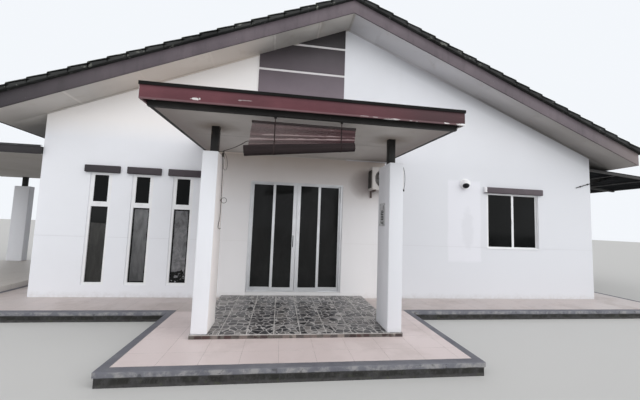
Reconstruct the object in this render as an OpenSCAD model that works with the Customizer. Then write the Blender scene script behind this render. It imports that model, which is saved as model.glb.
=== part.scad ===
// Single-storey gabled bungalow with an entrance canopy, a side porch and a side awning.
// Millimetres. X runs along the front wall, Y into the house, Z up.
// The origin lies on the ground, under the ridge line, at the front wall's outer face.

/* [House] */
// Ridge line to the left wall's outer face
wall_left = 5530; // [5400:10:5650]
// Ridge line to the right wall's outer face
wall_right = 5750; // [5600:10:5900]
// Front wall to back wall, over the outer faces
house_depth = 11400; // [10600:50:12600]
// Thickness of the plastered walls
wall_t = 150; // [130:5:200]
// Height of the door and window heads above the ground
opening_head = 2390; // [2360:5:2430]
// Height of the shallow groove that runs round the plaster
groove_z = 1219; // [1000:1:1400]
// Width of that groove
groove_w = 10; // [6:1:20]
// Depth of that groove
groove_deep = 6; // [3:1:10]

/* [Plinth] */
// Height of the raft above the ground
raft_h = 150; // [120:5:180]
// Thickness of the raised floor inside
floor_t = 105; // [80:5:130]
// Apron in front of the front wall
apron_front = 900; // [820:10:1100]
// Apron beside the left wall
apron_left = 720; // [650:10:900]
// Apron beside the right wall and behind the house
apron_right = 900; // [700:10:1200]
// Painted nosing round the tiled field
nosing_w = 100; // [60:5:140]
// How far the nosing overhangs the face below it
nosing_lip = 12; // [6:1:25]
// Height of the nosing's edge
nosing_h = 55; // [40:5:80]
// Thickness of the floor tiles
tile_t = 10; // [8:1:14]
// Width of the terrace
terrace_w = 3950; // [3800:10:4200]
// Front wall to the terrace's front edge
terrace_out = 2800; // [2720:10:3000]
// Height of the tiled platform at the door
platform_h = 50; // [40:5:70]
// Platform past the outer and front faces of the columns
platform_lip = 12; // [6:1:30]

/* [Roof] */
// Pitch of both slopes, in degrees
pitch = 22.5; // [21:0.5:24]
// Height of the soffit plane under the ridge
soffit_apex = 5715; // [5650:5:5800]
// Left wall to the left eave board's face
eave_out_left = 645; // [560:5:760]
// Right wall to the right eave board's face
eave_out_right = 595; // [520:5:700]
// Gable walls to the faces of the barge boards
verge_out = 540; // [480:10:620]
// Upright depth of the barge and eave boards
board_h = 260; // [230:5:290]
// Thickness of those boards
board_t = 25; // [18:1:35]
// Thickness of the soffit lining
soffit_t = 12; // [8:1:18]
// Clearance between sloping faces that bear on each other
seat_gap = 0.3; // [0.2:0.1:0.5]
// Soffit plane to the underside of the rafters' zone
rafter_gap = 150; // [120:5:180]
// Length of one tile course along the slope
tile_gauge = 318; // [290:1:350]
// Cover at the upper end of a tile course, measured upright
tile_thin = 78; // [60:1:90]
// Step at the lower end of a tile course
tile_step = 32; // [20:1:45]
// Tiles past the eave and barge boards
tile_over = 60; // [40:5:80]
// Ridge line to the first course line, level
top_course = 186; // [170:1:240]
// Outer radius of the ridge tiles
ridge_r = 125; // [110:1:145]
// Thickness of the ridge tiles
ridge_t = 18; // [14:1:24]
// Length of one ridge tile
ridge_len = 420; // [380:10:500]
// Width of the socket lip on each ridge tile
ridge_lip = 60; // [40:5:80]

/* [Gable panel] */
// Centre line of the door, the canopy and the gable panel
entrance_x = -930; // [-1000:5:-900]
// Width of the panel
panel_w = 1750; // [1600:10:1800]
// Thickness of the panel
panel_t = 20; // [14:1:30]
// Height of the panel's lower edge
panel_bottom = 3230; // [3220:5:3300]
// Height of the lower pale band's middle
band_low = 4676; // [4560:1:4760]
// Height of the upper pale band's middle
band_high = 5259; // [5160:1:5300]
// Width of each pale band
band_w = 45; // [30:1:60]
// Depth of each pale band
band_deep = 8; // [4:1:12]

/* [Windows] */
// Ridge line to the centre of the outermost narrow window
narrow_x = -4527; // [-4540:1:-4500]
// Distance between the narrow windows' centres
narrow_pitch = 717; // [700:1:730]
// Number of narrow windows
narrow_count = 3; // [1:1:3]
// Width of a narrow window
narrow_w = 375; // [350:5:390]
// Sill of the narrow windows above the ground
narrow_sill = 365; // [350:5:400]
// Height of the transom's underside above the ground
transom_z = 1770; // [1740:5:1790]
// Height of the transom
transom_h = 40; // [30:1:50]
// Ridge line to the centre of the wide window in the front wall
wide_x = 3790; // [3700:10:3900]
// Width of a wide window
wide_w = 1240; // [1150:10:1300]
// Sill of the wide windows above the ground
wide_sill = 1195; // [1185:5:1205]
// Distance between the wide windows' centres on the side walls
side_pitch = 3400; // [3200:20:3600]
// Visible width of the narrow windows' frames
frame_w = 45; // [38:1:50]
// Visible height of the outer frames' head
frame_head = 18; // [14:1:24]
// Depth of the outer frames
frame_d = 60; // [50:1:70]
// Wall face to the frames' face
reveal = 15; // [10:1:25]
// Width of the sash members
sash_w = 25; // [20:1:30]
// Depth of the sash members
sash_d = 26; // [22:1:28]
// Thickness of the glass
glass_t = 6; // [5:1:8]
// How far the glass goes into its frame
glass_bite = 8; // [6:1:10]
// Clearance of the glass in its groove
glass_gap = 0.3; // [0.2:0.1:0.4]
// Window hoods out from the wall
hood_out = 60; // [45:5:90]
// Height of a window hood
hood_h = 128; // [110:2:140]
// Hood past a narrow window, each side
hood_past = 104; // [90:2:120]
// Middle of a narrow window to the middle of its hood
hood_shift = 25; // [0:1:35]
// Hood past a wide window, each side
hood_past_wide = 75; // [60:5:100]
// Bevel along the hoods' edges
hood_bevel = 10; // [5:1:15]

/* [Sliding door] */
// Width of the door over its outer frame
door_w = 1840; // [1780:10:1900]
// Wall face to the door frame's face
door_set = 25; // [20:1:35]
// Depth of the door frame
door_d = 96; // [94:1:104]
// Visible width of the jambs
jamb_w = 35; // [30:1:45]
// Height of the head track
head_h = 30; // [26:1:38]
// Thickness of the sill plate
sill_h = 15; // [12:1:20]
// Height of the rail that the rollers run on
rail_h = 12; // [10:1:14]
// Width of that rail
rail_w = 6; // [5:1:8]
// Thickness of each leaf
leaf_t = 32; // [30:1:34]
// Width of the interlocking stiles
leaf_stile = 50; // [45:1:60]
// Width of the meeting stiles
meeting_stile = 70; // [60:1:80]
// Height of the leaves' top rails
leaf_top = 34; // [30:1:50]
// Height of the leaves' bottom rails
leaf_bottom = 65; // [55:1:80]
// Pane width of the sliding leaves
slide_pane = 352; // [340:1:360]
// Running clearance round the sliding leaves
run_gap = 6; // [5:0.5:7]
// Gap between the two sliding leaves when they are shut
meeting_gap = 5; // [5:1:8]
// Depth of the hooked fins on the interlocking stiles
fin_l = 7; // [6.5:0.5:8]
// Radius of the rollers
roller_r = 15; // [12:1:18]
// Length of the pull handle
handle_l = 225; // [180:5:260]
// Height of the handle's middle above the ground
handle_z = 1236; // [1150:2:1300]

/* [Entrance canopy] */
// Width of the canopy over its fascia
canopy_w = 3770; // [3700:10:3850]
// Front wall to the canopy's fascia
canopy_out = 2580; // [2540:10:2640]
// Height of the fascia's lower edge
fascia_z = 2862; // [2840:2:2880]
// Height of the fascia
fascia_h = 165; // [150:5:180]
// Thickness of the fascia
fascia_t = 20; // [15:1:30]
// Height of the ceiling at the front beam
ceiling_z = 2817; // [2800:1:2830]
// Rise of the ceiling from the front edge to the wall
ceiling_rise = 109; // [80:1:120]
// Thickness of the ceiling boards
ceiling_t = 9; // [6:1:12]
// Fascia's face to the front beam's face
beam_in = 80; // [70:5:100]
// Fascia's side faces to the side beams' outer faces
beam_side = 55; // [30:1:60]
// Width of the steel beams
beam_w = 50; // [40:5:60]
// Depth of the steel beams
beam_h = 100; // [90:1:105]
// Width over the two front columns
columns_w = 2670; // [2600:10:2740]
// Width of a column, seen from the front
column_w = 195; // [170:5:220]
// Depth of a column, front to back
column_d = 460; // [420:10:500]
// Front wall to the columns' front faces
column_out = 2024; // [2024:4:2080]
// Height of the columns' tops
column_top = 2467; // [2430:1:2500]
// Side of the square steel posts
post_w = 100; // [90:5:110]
// Clearance where a post passes the ceiling
post_gap = 2; // [1:0.5:4]
// Distance between the ribs of the roof sheets
rib_pitch = 190; // [170:5:220]
// Height of the ribs
rib_h = 24; // [18:1:30]
// Thickness of the roof sheets
sheet_t = 3; // [2:0.5:4]
// Roof sheets past the fascia
sheet_over = 6; // [2:1:7]
// Face of the edge strip past the fascia
strip_out = 10; // [10:1:16]
// Height of the edge strip's upright leg
strip_h = 37; // [32:1:50]
// Width of the edge strip's flange over the ribs
strip_w = 55; // [40:5:80]
// Thickness of the edge strip
strip_t = 2; // [1:0.5:3]

/* [Blind] */
// Centre of the blind
blind_x = -1008; // [-1050:2:-960]
// Width of the blind
blind_w = 1250; // [1200:10:1280]
// Front wall to the blind's slats
blind_out = 2425; // [2415:1:2432]
// Height of the head batten
batten_h = 24; // [18:1:30]
// Thickness of the head batten
batten_t = 22; // [16:1:28]
// Height of the head batten's top
batten_top = 2768; // [2756:1:2776]
// Thickness of the slat sheet
slat_t = 6; // [4:1:8]
// Radius of the rolled slats at the left end
roll_r = 66; // [58:1:70]
// Radius of the rolled slats at the right end
roll_r_right = 55; // [50:1:66]
// Rolled slats past the batten's length, each end
roll_past = 35; // [0:1:45]
// How far the sheet's lower left corner hangs to the left of the batten
sheet_slip = 32; // [0:1:40]
// How far the sheet's lower right corner hangs to the left of the batten's end
sheet_slip_right = 12; // [0:1:30]
// How far the roll hangs to the left of the batten
roll_slip = 42; // [10:1:60]
// Height of the roll's axis at its left end
roll_left = 2408; // [2395:1:2420]
// Height of the roll's axis at its right end
roll_right = 2532; // [2520:1:2545]
// Distance between the two hooks
hook_span = 800; // [700:10:860]
// Blind's middle to the hooks' middle
hook_shift = 48; // [0:2:80]
// Thickness of the pull cord
cord_d = 8; // [7:0.5:10]

/* [Condensing unit] */
// Left side of the unit
unit_x = 490; // [480:5:520]
// Width of the unit
unit_w = 650; // [620:5:680]
// Depth of the unit
unit_d = 260; // [240:5:280]
// Height of the unit
unit_h = 440; // [420:5:460]
// Height of the unit's underside
unit_z = 2300; // [2285:5:2310]
// Wall to the back of the unit
unit_gap = 70; // [50:5:90]
// Radius of the fan opening
fan_r = 190; // [170:2:195]
// Unit's left side to the fan's axis
fan_x = 255; // [245:5:270]
// Thickness of the rings and spokes of the grille
wire_t = 5; // [4:0.5:7]
// Number of rings in the grille
ring_count = 7; // [4:1:9]

/* [Side porch] */
// Left wall to the porch fascia's left face
porch_w = 3890; // [3800:10:4000]
// Front wall to the porch fascia's front face, towards the viewer
porch_front = 67; // [40:1:100]
// Front wall to the porch roof's back face
porch_back = 3960; // [3950:10:4050]
// Height of the porch ceiling
porch_z = 2655; // [2640:5:2680]
// Height of the porch fascia
porch_fascia = 136; // [130:1:150]
// Height of the porch floor
porch_floor = 250; // [230:5:270]
// Width of a porch column, seen from the front
porch_col_w = 390; // [360:10:420]
// Depth of a porch column
porch_col_d = 190; // [170:5:210]
// Left wall to the porch columns' outer faces
porch_col_x = 3336; // [3250:2:3400]
// Front wall's plane to the front porch column's front face
porch_col_front = 480; // [400:5:600]
// Front wall's plane to the back porch column's front face
porch_col_back = 3730; // [3640:5:3740]
// Height of the porch columns' tops
porch_col_top = 2384; // [2350:2:2410]

/* [Side awning] */
// Right wall to the awning's outer edge
awning_w = 2620; // [2500:10:2700]
// Length of the awning along the wall
awning_l = 6000; // [5600:50:6400]
// Gap between the awning's sheet and the eave board above it
awning_under = 15; // [8:1:40]
// Fall of the awning from the wall to its outer edge
awning_drop = 222; // [200:1:260]
// Depth of the awning's steel members
awning_steel = 50; // [40:1:60]
// Side of the awning's posts
awning_post = 60; // [50:5:75]

/* [Fittings] */
// Clear wall between the dome camera and the wide window's hood
camera_gap = 325; // [250:5:400]
// Height of the dome camera's centre
camera_z = 2560; // [2520:2:2590]
// Radius of the camera's back plate
camera_r = 115; // [95:1:125]
// Radius of the camera's domed housing
camera_dome = 92; // [80:1:95]
// Length of the number plate, upright
plate_h = 330; // [280:5:360]
// Width of the number plate
plate_w = 230; // [180:5:260]
// Thickness of the number plate
plate_t = 6; // [4:0.5:8]
// Height of the number plate's lower edge
plate_z = 1590; // [1540:5:1640]
// Column's front face to the number plate
plate_in = 154; // [100:2:180]
// Diameter of the rod at the wall's corner
rod_d = 16; // [12:1:20]
// Length of that rod along the wall
rod_run = 376; // [340:4:400]
// Height that the rod gains along its run
rod_rise = 118; // [90:2:140]
// Height of the rod's lower end
rod_z = 2617; // [2580:1:2650]

/* [Hidden] */
$fn = 48;
eps = 0.01;
big = 20000;

function slope() = tan(pitch);
function soffit_z(d) = soffit_apex - slope() * d;
eave_left = wall_left + eave_out_left;
eave_right = wall_right + eave_out_right;
door_z = raft_h + floor_t;
door_h = opening_head - door_z;
door_x = entrance_x - door_w / 2;
door_right = entrance_x + door_w / 2;
narrow_centres = [for (i = [0:narrow_count - 1]) narrow_x + i * narrow_pitch];
side_centres = [for (i = [-1:1]) house_depth / 2 + i * side_pitch];
back_centres = [-wide_x, wide_x];

// Upright extrusion between two Y values of an outline drawn in X and Z.
module along_y(y0, y1) {
    translate([0, y1, 0]) rotate([90, 0, 0]) linear_extrude(y1 - y0) children();
}

// Extrusion between two X values of an outline drawn in Y and Z.
module along_x(x0, x1) {
    translate([x0, 0, 0]) rotate([90, 0, 90]) linear_extrude(x1 - x0) children();
}

// Box between two corners.
module block(a, b) {
    translate(a) cube(b - a);
}

// Band parallel to one roof slope, from d0 to d1 off the ridge line.
module slope_band(side, d0, d1, low, high) {
    polygon([[side * d0, soffit_z(d0) + low], [side * d1, soffit_z(d1) + low],
        [side * d1, soffit_z(d1) + high], [side * d0, soffit_z(d0) + high]]);
}

// Plinth

function raft_outline(inset) = let(
        left = -wall_left - apron_left + inset,
        right = wall_right + apron_right - inset,
        front = -apron_front + inset,
        back = house_depth + apron_right - inset,
        step_left = entrance_x - terrace_w / 2 + inset,
        step_right = entrance_x + terrace_w / 2 - inset,
        step_front = -terrace_out + inset)
    [[left, front], [step_left, front], [step_left, step_front], [step_right, step_front],
        [step_right, front], [right, front], [right, back], [left, back]];

module house_outline() {
    translate([-wall_left, 0]) square([wall_left + wall_right, house_depth]);
}

module tile_field() {
    difference() {
        polygon(raft_outline(nosing_w));
        house_outline();
    }
}

module raft() {
    color("slategray") difference() {
        union() {
            linear_extrude(raft_h - nosing_h + eps) polygon(raft_outline(nosing_lip));
            translate([0, 0, raft_h - nosing_h]) linear_extrude(nosing_h) polygon(raft_outline(0));
        }
        translate([0, 0, raft_h - tile_t]) linear_extrude(tile_t + 1) tile_field();
    }
}

module floor_slab() {
    color("silver") translate([0, 0, raft_h]) union() {
        translate([-wall_left + wall_t, wall_t, 0])
            cube([wall_left + wall_right - 2 * wall_t, house_depth - 2 * wall_t, floor_t]);
        translate([door_x, 0, 0]) cube([door_w, wall_t + 1, floor_t]);
    }
}

module floor_tiles() {
    color("rosybrown") translate([0, 0, raft_h - tile_t]) linear_extrude(tile_t) tile_field();
}

column_lefts = [entrance_x - columns_w / 2, entrance_x + columns_w / 2 - column_w];

module platform() {
    width = columns_w + 2 * platform_lip;
    reach = column_out + platform_lip;
    color("dimgray") translate([entrance_x - width / 2, -reach, raft_h]) cube([width, reach, platform_h]);
}

// Walls

module groove_front() {
    block([-big, -1, groove_z - groove_w / 2], [big, groove_deep, groove_z + groove_w / 2]);
}

module wide_opening(centre) {
    translate([centre - wide_w / 2, 0, wide_sill]) cube([wide_w, wall_t + 2, opening_head - wide_sill]);
}

module front_wall_left() {
    color("white") difference() {
        block([-wall_left, 0, raft_h], [door_x, wall_t, opening_head]);
        for (x = narrow_centres)
            block([x - narrow_w / 2, -1, narrow_sill], [x + narrow_w / 2, wall_t + 1, opening_head + 1]);
        groove_front();
    }
}

module front_wall_right() {
    color("white") difference() {
        block([door_right, 0, raft_h], [wall_right, wall_t, opening_head]);
        block([wide_x - wide_w / 2, -1, wide_sill], [wide_x + wide_w / 2, wall_t + 1, opening_head + 1]);
        groove_front();
    }
}

module gable_outline(base) {
    polygon([[-wall_left, base], [wall_right, base],
        [wall_right, soffit_z(wall_right) + rafter_gap], [0, soffit_apex + rafter_gap],
        [-wall_left, soffit_z(wall_left) + rafter_gap]]);
}

module front_gable() {
    color("white") along_y(0, wall_t) gable_outline(opening_head);
}

module back_wall() {
    color("white") difference() {
        along_y(house_depth - wall_t, house_depth) gable_outline(raft_h);
        for (x = back_centres) translate([0, house_depth - wall_t - 1, 0]) wide_opening(x);
        block([-big, house_depth - groove_deep, groove_z - groove_w / 2],
            [big, house_depth + 1, groove_z + groove_w / 2]);
    }
}

// One side wall, with its head cut to the roof's slope.
module side_wall(side, reach) {
    color("white") difference() {
        along_y(wall_t, house_depth - wall_t) polygon([[side * reach, raft_h],
            [side * (reach - wall_t), raft_h],
            [side * (reach - wall_t), soffit_z(reach - wall_t) + rafter_gap],
            [side * reach, soffit_z(reach) + rafter_gap]]);
        for (y = side_centres)
            block([side * reach - wall_t - 1, y - wide_w / 2, wide_sill],
                [side * reach + wall_t + 1, y + wide_w / 2, opening_head]);
        block([side * reach - groove_deep, -1, groove_z - groove_w / 2],
            [side * reach + groove_deep, big, groove_z + groove_w / 2]);
    }
}

module left_wall() {
    side_wall(-1, wall_left);
}

module right_wall() {
    side_wall(1, wall_right);
}

// Roof

gauge = tile_gauge * cos(pitch);
function course_lines(reach) = [for (d = [top_course:gauge:reach]) d];
function cover(d, low_end) = tile_thin + tile_step * (1 - (low_end - d) / gauge);

// Stepped cross-section of the tile courses on one slope.
module tile_section(side, reach) {
    lines = course_lines(reach);
    ends = concat(lines, [reach]);
    starts = concat([0], lines);
    upper = [for (i = [0:len(ends) - 1]) if (ends[i] - starts[i] > 1) each [
        [side * starts[i], soffit_z(starts[i]) + board_h + cover(starts[i], ends[i])],
        [side * ends[i], soffit_z(ends[i]) + board_h + tile_thin + tile_step]]];
    polygon(concat([[0, soffit_apex + board_h]], upper, [[side * reach, soffit_z(reach) + board_h]]));
}

module roof_slope(side, eave) {
    color("darkslategray") union() {
        along_y(-verge_out + board_t, house_depth + verge_out - board_t)
            slope_band(side, 0, eave - board_t, rafter_gap, board_h + 1);
        along_y(-verge_out - tile_over, house_depth + verge_out + tile_over)
            tile_section(side, eave + tile_over);
    }
}

module roof_left() {
    roof_slope(-1, eave_left);
}

module roof_right() {
    roof_slope(1, eave_right);
}

ridge_cover = cover(0, top_course);
ridge_z = soffit_apex + board_h + ridge_cover - 35;
ridge_y0 = -verge_out - tile_over;
ridge_y1 = house_depth + verge_out + tile_over;
ridge_n = round((ridge_y1 - ridge_y0) / ridge_len);
ridge_l = (ridge_y1 - ridge_y0) / ridge_n;

// Half-round ridge tiles, each with a socket lip over the next one.
module ridge_tiles() {
    outer = [for (i = [0:ridge_n - 1]) each [
        [ridge_r + 10, i * ridge_l], [ridge_r + 10, i * ridge_l + ridge_lip],
        [ridge_r, i * ridge_l + ridge_lip], [ridge_r, (i + 1) * ridge_l]]];
    inner = ridge_r - ridge_t;
    fall = slope() * gauge - tile_step;
    color("darkslategray") difference() {
        translate([0, ridge_y0, ridge_z]) rotate([-90, 0, 0])
            rotate_extrude($fn = 64) polygon(concat([[inner, 0]], outer, [[inner, ridge_y1 - ridge_y0]]));
        translate([0, 0, seat_gap]) along_y(ridge_y0 - 1, ridge_y1 + 1) polygon([
            [-gauge, soffit_apex + board_h + ridge_cover - fall],
            [0, soffit_apex + board_h + ridge_cover],
            [gauge, soffit_apex + board_h + ridge_cover - fall],
            [gauge, soffit_apex - gauge], [-gauge, soffit_apex - gauge]]);
    }
}

module gable_boards() {
    slope_band(-1, 0, eave_left, 0, board_h - seat_gap);
    slope_band(1, 0, eave_right, 0, board_h - seat_gap);
}

module barge_boards() {
    color("rosybrown") {
        along_y(-verge_out, -verge_out + board_t) gable_boards();
        along_y(house_depth + verge_out - board_t, house_depth + verge_out) gable_boards();
    }
}

module eave_boards() {
    color("rosybrown") along_y(-verge_out + board_t, house_depth + verge_out - board_t) {
        slope_band(-1, eave_left - board_t, eave_left, 0, board_h - seat_gap);
        slope_band(1, eave_right - board_t, eave_right, 0, board_h - seat_gap);
    }
}

module gable_lining() {
    slope_band(-1, 0, eave_left - board_t, 0, soffit_t);
    slope_band(1, 0, eave_right - board_t, 0, soffit_t);
}

module gable_soffits() {
    color("gainsboro") {
        along_y(-verge_out + board_t, 0) gable_lining();
        along_y(house_depth, house_depth + verge_out - board_t) gable_lining();
    }
}

module eave_soffits() {
    color("gainsboro") along_y(0, house_depth) {
        slope_band(-1, wall_left, eave_left - board_t, 0, soffit_t);
        slope_band(1, wall_right, eave_right - board_t, 0, soffit_t);
    }
}

module gable_panel() {
    left = entrance_x - panel_w / 2;
    right = entrance_x + panel_w / 2;
    color("rosybrown") difference() {
        along_y(-panel_t, 0) polygon([[left, panel_bottom], [right, panel_bottom],
            [right, soffit_z(abs(right)) - seat_gap], [left, soffit_z(abs(left)) - seat_gap]]);
        for (z = [band_low, band_high])
            block([left - 1, -panel_t - 1, z - band_w / 2],
                [right + 1, -panel_t + band_deep, z + band_w / 2]);
    }
}

// Windows

// Hood over an opening: a plastered box with bevelled front edges, drawn from its left end.
module hood(length) {
    along_x(0, length) polygon([[0, 0], [-hood_out + hood_bevel, 0], [-hood_out, hood_bevel],
        [-hood_out, hood_h - hood_bevel], [-hood_out + hood_bevel, hood_h], [0, hood_h]]);
}

// Places children on a side wall's face, turned so that they look outwards.
module on_side(side, reach, y, length) {
    if (side < 0) translate([-reach, y + length / 2, 0]) rotate([0, 0, -90]) children();
    else translate([reach, y - length / 2, 0]) rotate([0, 0, 90]) children();
}

// Children repeated at every wide window, each drawn from its opening's lower left corner.
module at_wide_windows(extra) {
    length = wide_w + 2 * extra;
    translate([wide_x - length / 2, 0, 0]) children();
    for (x = back_centres) translate([x + length / 2, house_depth, 0]) rotate([0, 0, 180]) children();
    for (y = side_centres) {
        on_side(-1, wall_left, y, length) children();
        on_side(1, wall_right, y, length) children();
    }
}

module window_hoods() {
    color("rosybrown") {
        for (x = narrow_centres)
            translate([x + hood_shift - narrow_w / 2 - hood_past, 0, opening_head])
                hood(narrow_w + 2 * hood_past);
        at_wide_windows(hood_past_wide) translate([0, 0, opening_head]) hood(wide_w + 2 * hood_past_wide);
    }
}

// Frame of four members, grooved for its glass, from its lower left front corner.
module pane_frame(w, h, left, right, low, high, d) {
    difference() {
        cube([w, d, h]);
        translate([left, -1, low]) cube([w - left - right, d + 2, h - low - high]);
        translate([left - glass_bite, (d - glass_t) / 2 - glass_gap, low - glass_bite])
            cube([w - left - right + 2 * glass_bite, glass_t + 2 * glass_gap,
                h - low - high + 2 * glass_bite]);
    }
}

// Pane that stands on the bottom of its frame's groove.
module pane_glass(w, h, left, right, low, high, d) {
    bite = glass_bite - glass_gap;
    translate([left - bite, (d - glass_t) / 2, low - glass_bite])
        cube([w - left - right + 2 * bite, glass_t, h - low - high + glass_bite + bite]);
}

narrow_h = opening_head - narrow_sill;
lower_h = transom_z - narrow_sill;
upper_h = narrow_h - lower_h - transom_h;
wide_h = opening_head - wide_sill;
wide_half = wide_w / 2 + sash_w;
sash_step = (frame_d - 2 * sash_d) / 2;

// Narrow window: a fixed pane below and a top-hung sash above the transom.
module narrow_frame() {
    pane_frame(narrow_w, lower_h + transom_h, frame_w, frame_w, frame_w, transom_h, frame_d);
    translate([0, 0, lower_h + transom_h]) difference() {
        cube([narrow_w, frame_d, upper_h]);
        translate([frame_w, -1, -1]) cube([narrow_w - 2 * frame_w, frame_d + 2, upper_h + 1 - frame_head]);
    }
    translate([frame_w, 0, lower_h + transom_h]) pane_frame(narrow_w - 2 * frame_w, upper_h - frame_head,
        sash_w, sash_w, 2 * sash_w, sash_w, sash_d);
}

module narrow_glass() {
    pane_glass(narrow_w, lower_h + transom_h, frame_w, frame_w, frame_w, transom_h, frame_d);
    translate([frame_w, 0, lower_h + transom_h]) pane_glass(narrow_w - 2 * frame_w, upper_h - frame_head,
        sash_w, sash_w, 2 * sash_w, sash_w, sash_d);
}

// Wide window: a frame with two sashes that pass each other, and a thin sill.
module wide_frame() {
    difference() {
        cube([wide_w, frame_d, wide_h]);
        translate([frame_head, -1, frame_head])
            cube([wide_w - 2 * frame_head, frame_d + 2, wide_h - 2 * frame_head]);
    }
    translate([0, -reveal - 12, 0]) cube([wide_w, reveal + 12, 16]);
    at_sashes() pane_frame(wide_half - frame_head, wide_h - 2 * frame_head, sash_w, 2 * sash_w, sash_w,
        sash_w / 2, sash_d);
}

// The left sash on the outer track and the right one, mirrored, on the inner track.
module at_sashes() {
    translate([frame_head, sash_step / 2, frame_head]) children();
    translate([wide_w - frame_head, frame_d - sash_d - sash_step / 2, frame_head]) mirror([1, 0, 0])
        children();
}

module wide_glass() {
    at_sashes() pane_glass(wide_half - frame_head, wide_h - 2 * frame_head, sash_w, 2 * sash_w, sash_w,
        sash_w / 2, sash_d);
}

module window_frames() {
    color("white") {
        for (x = narrow_centres) translate([x - narrow_w / 2, reveal, narrow_sill]) narrow_frame();
        at_wide_windows(0) translate([0, reveal, wide_sill]) wide_frame();
    }
}

module window_glass() {
    color("black") {
        for (x = narrow_centres) translate([x - narrow_w / 2, reveal, narrow_sill]) narrow_glass();
        at_wide_windows(0) translate([0, reveal, wide_sill]) wide_glass();
    }
}

// Sliding door: four leaves on two tracks, the two middle ones in front

front_track = door_set + run_gap + leaf_t / 2 + 8;
back_track = front_track + leaf_t + run_gap * 2;
slide_w = slide_pane + leaf_stile + meeting_stile;
fixed_edge = door_w / 2 - jamb_w + 10;
fixed_start = slide_w + meeting_gap / 2 - leaf_stile;
fixed_w = fixed_edge - fixed_start;
slide_z = door_z + sill_h + run_gap;
slide_h = opening_head - 12 - run_gap - slide_z;
fixed_z = door_z + sill_h;
fixed_h = opening_head - 12 - fixed_z;
fin_h = opening_head - head_h - run_gap - slide_z;

// Both halves of the door, the left one mirrored about the entrance axis.
module door_halves() {
    translate([entrance_x, 0, 0]) {
        children();
        mirror([1, 0, 0]) children();
    }
}

module door_frame() {
    color("silver") difference() {
        block([door_x, door_set, door_z], [door_right, door_set + door_d, opening_head]);
        block([door_x + jamb_w, -1, door_z + sill_h],
            [door_right - jamb_w, wall_t + 1, opening_head - head_h]);
        block([door_x + jamb_w, front_track - leaf_t / 2 - run_gap, door_z + sill_h],
            [door_right - jamb_w, front_track + leaf_t / 2 + run_gap, opening_head - 12]);
        block([entrance_x - fixed_edge - glass_gap, back_track - leaf_t / 2 - glass_gap, fixed_z],
            [entrance_x + fixed_edge + glass_gap, back_track + leaf_t / 2 + glass_gap, opening_head - 12]);
    }
    color("silver") block([door_x + jamb_w, front_track - rail_w / 2, door_z + sill_h],
        [door_right - jamb_w, front_track + rail_w / 2, door_z + sill_h + rail_h]);
}

// Fixed leaf of the right half, with a hooked fin on its inner stile.
module fixed_leaf() {
    translate([fixed_start, back_track - leaf_t / 2, fixed_z])
        pane_frame(fixed_w, fixed_h, leaf_stile, jamb_w + 10, leaf_bottom + run_gap, leaf_top + run_gap,
            leaf_t);
    translate([fixed_start + leaf_stile / 2 - 2, back_track - leaf_t / 2 - fin_l, slide_z])
        cube([4, fin_l + 1, fin_h]);
}

// Sliding leaf of the right half: two rollers in a slot astride the rail, and its own hooked fin.
module sliding_leaf() {
    translate([meeting_gap / 2, 0, 0]) {
        difference() {
            translate([0, front_track - leaf_t / 2, slide_z])
                pane_frame(slide_w, slide_h, meeting_stile, leaf_stile, leaf_bottom, leaf_top, leaf_t);
            translate([-1, front_track - rail_w / 2 - run_gap, slide_z - 1])
                cube([slide_w + 2, rail_w + 2 * run_gap, rail_h + 1]);
        }
        translate([slide_w - leaf_stile / 2 + 8, front_track + leaf_t / 2 - 1, slide_z])
            cube([4, fin_l + 1, fin_h]);
        for (x = [meeting_stile, slide_w - leaf_stile])
            translate([x, front_track + rail_w / 2, door_z + sill_h + rail_h + glass_gap + roller_r])
                rotate([90, 0, 0]) cylinder(r = roller_r, h = rail_w);
    }
}

module sliding_glass() {
    translate([meeting_gap / 2, front_track - leaf_t / 2, slide_z])
        pane_glass(slide_w, slide_h, meeting_stile, leaf_stile, leaf_bottom, leaf_top, leaf_t);
}

module fixed_leaves() {
    color("silver") door_halves() fixed_leaf();
}

module fixed_glass() {
    color("black") door_halves() translate([fixed_start, back_track - leaf_t / 2, fixed_z])
        pane_glass(fixed_w, fixed_h, leaf_stile, jamb_w + 10, leaf_bottom + run_gap, leaf_top + run_gap,
            leaf_t);
}

module sliding_leaf_left() {
    color("silver") translate([entrance_x, 0, 0]) mirror([1, 0, 0]) sliding_leaf();
}

module sliding_glass_left() {
    color("black") translate([entrance_x, 0, 0]) mirror([1, 0, 0]) sliding_glass();
}

module sliding_leaf_right() {
    color("silver") translate([entrance_x, 0, 0]) sliding_leaf();
}

module sliding_glass_right() {
    color("black") translate([entrance_x, 0, 0]) sliding_glass();
}

// Bow handle on the left leaf's meeting stile.
module pull_handle() {
    x = entrance_x - meeting_gap / 2 - meeting_stile * 0.72;
    y = front_track - leaf_t / 2;
    color("black") {
        translate([x, y - 24, handle_z - handle_l / 2]) cylinder(d = 14, h = handle_l);
        for (z = [handle_z - handle_l / 2 + 25, handle_z + handle_l / 2 - 25])
            translate([x, y, z]) rotate([90, 0, 0]) cylinder(d = 12, h = 24);
    }
}

// Entrance canopy

function lift(y) = ceiling_rise * (1 + y / canopy_out);
beam_front = -canopy_out + beam_in;
canopy_left = entrance_x - canopy_w / 2;
canopy_right = entrance_x + canopy_w / 2;
side_in = beam_side + beam_w;
post_y0 = -column_out + (column_d - post_w) / 2;
post_y1 = post_y0 + post_w;
post_lefts = [for (x = column_lefts) x + (column_w - post_w) / 2];
rafter_low = ceiling_z + beam_h;
rafter_high = fascia_z + fascia_h;

// Outline in Y and Z between two Y values that follows the canopy's fall.
module canopy_band(y0, y1, low, high) {
    polygon([[y0, low + lift(y0)], [y1, low + lift(y1)], [y1, high + lift(y1)], [y0, high + lift(y0)]]);
}

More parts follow.
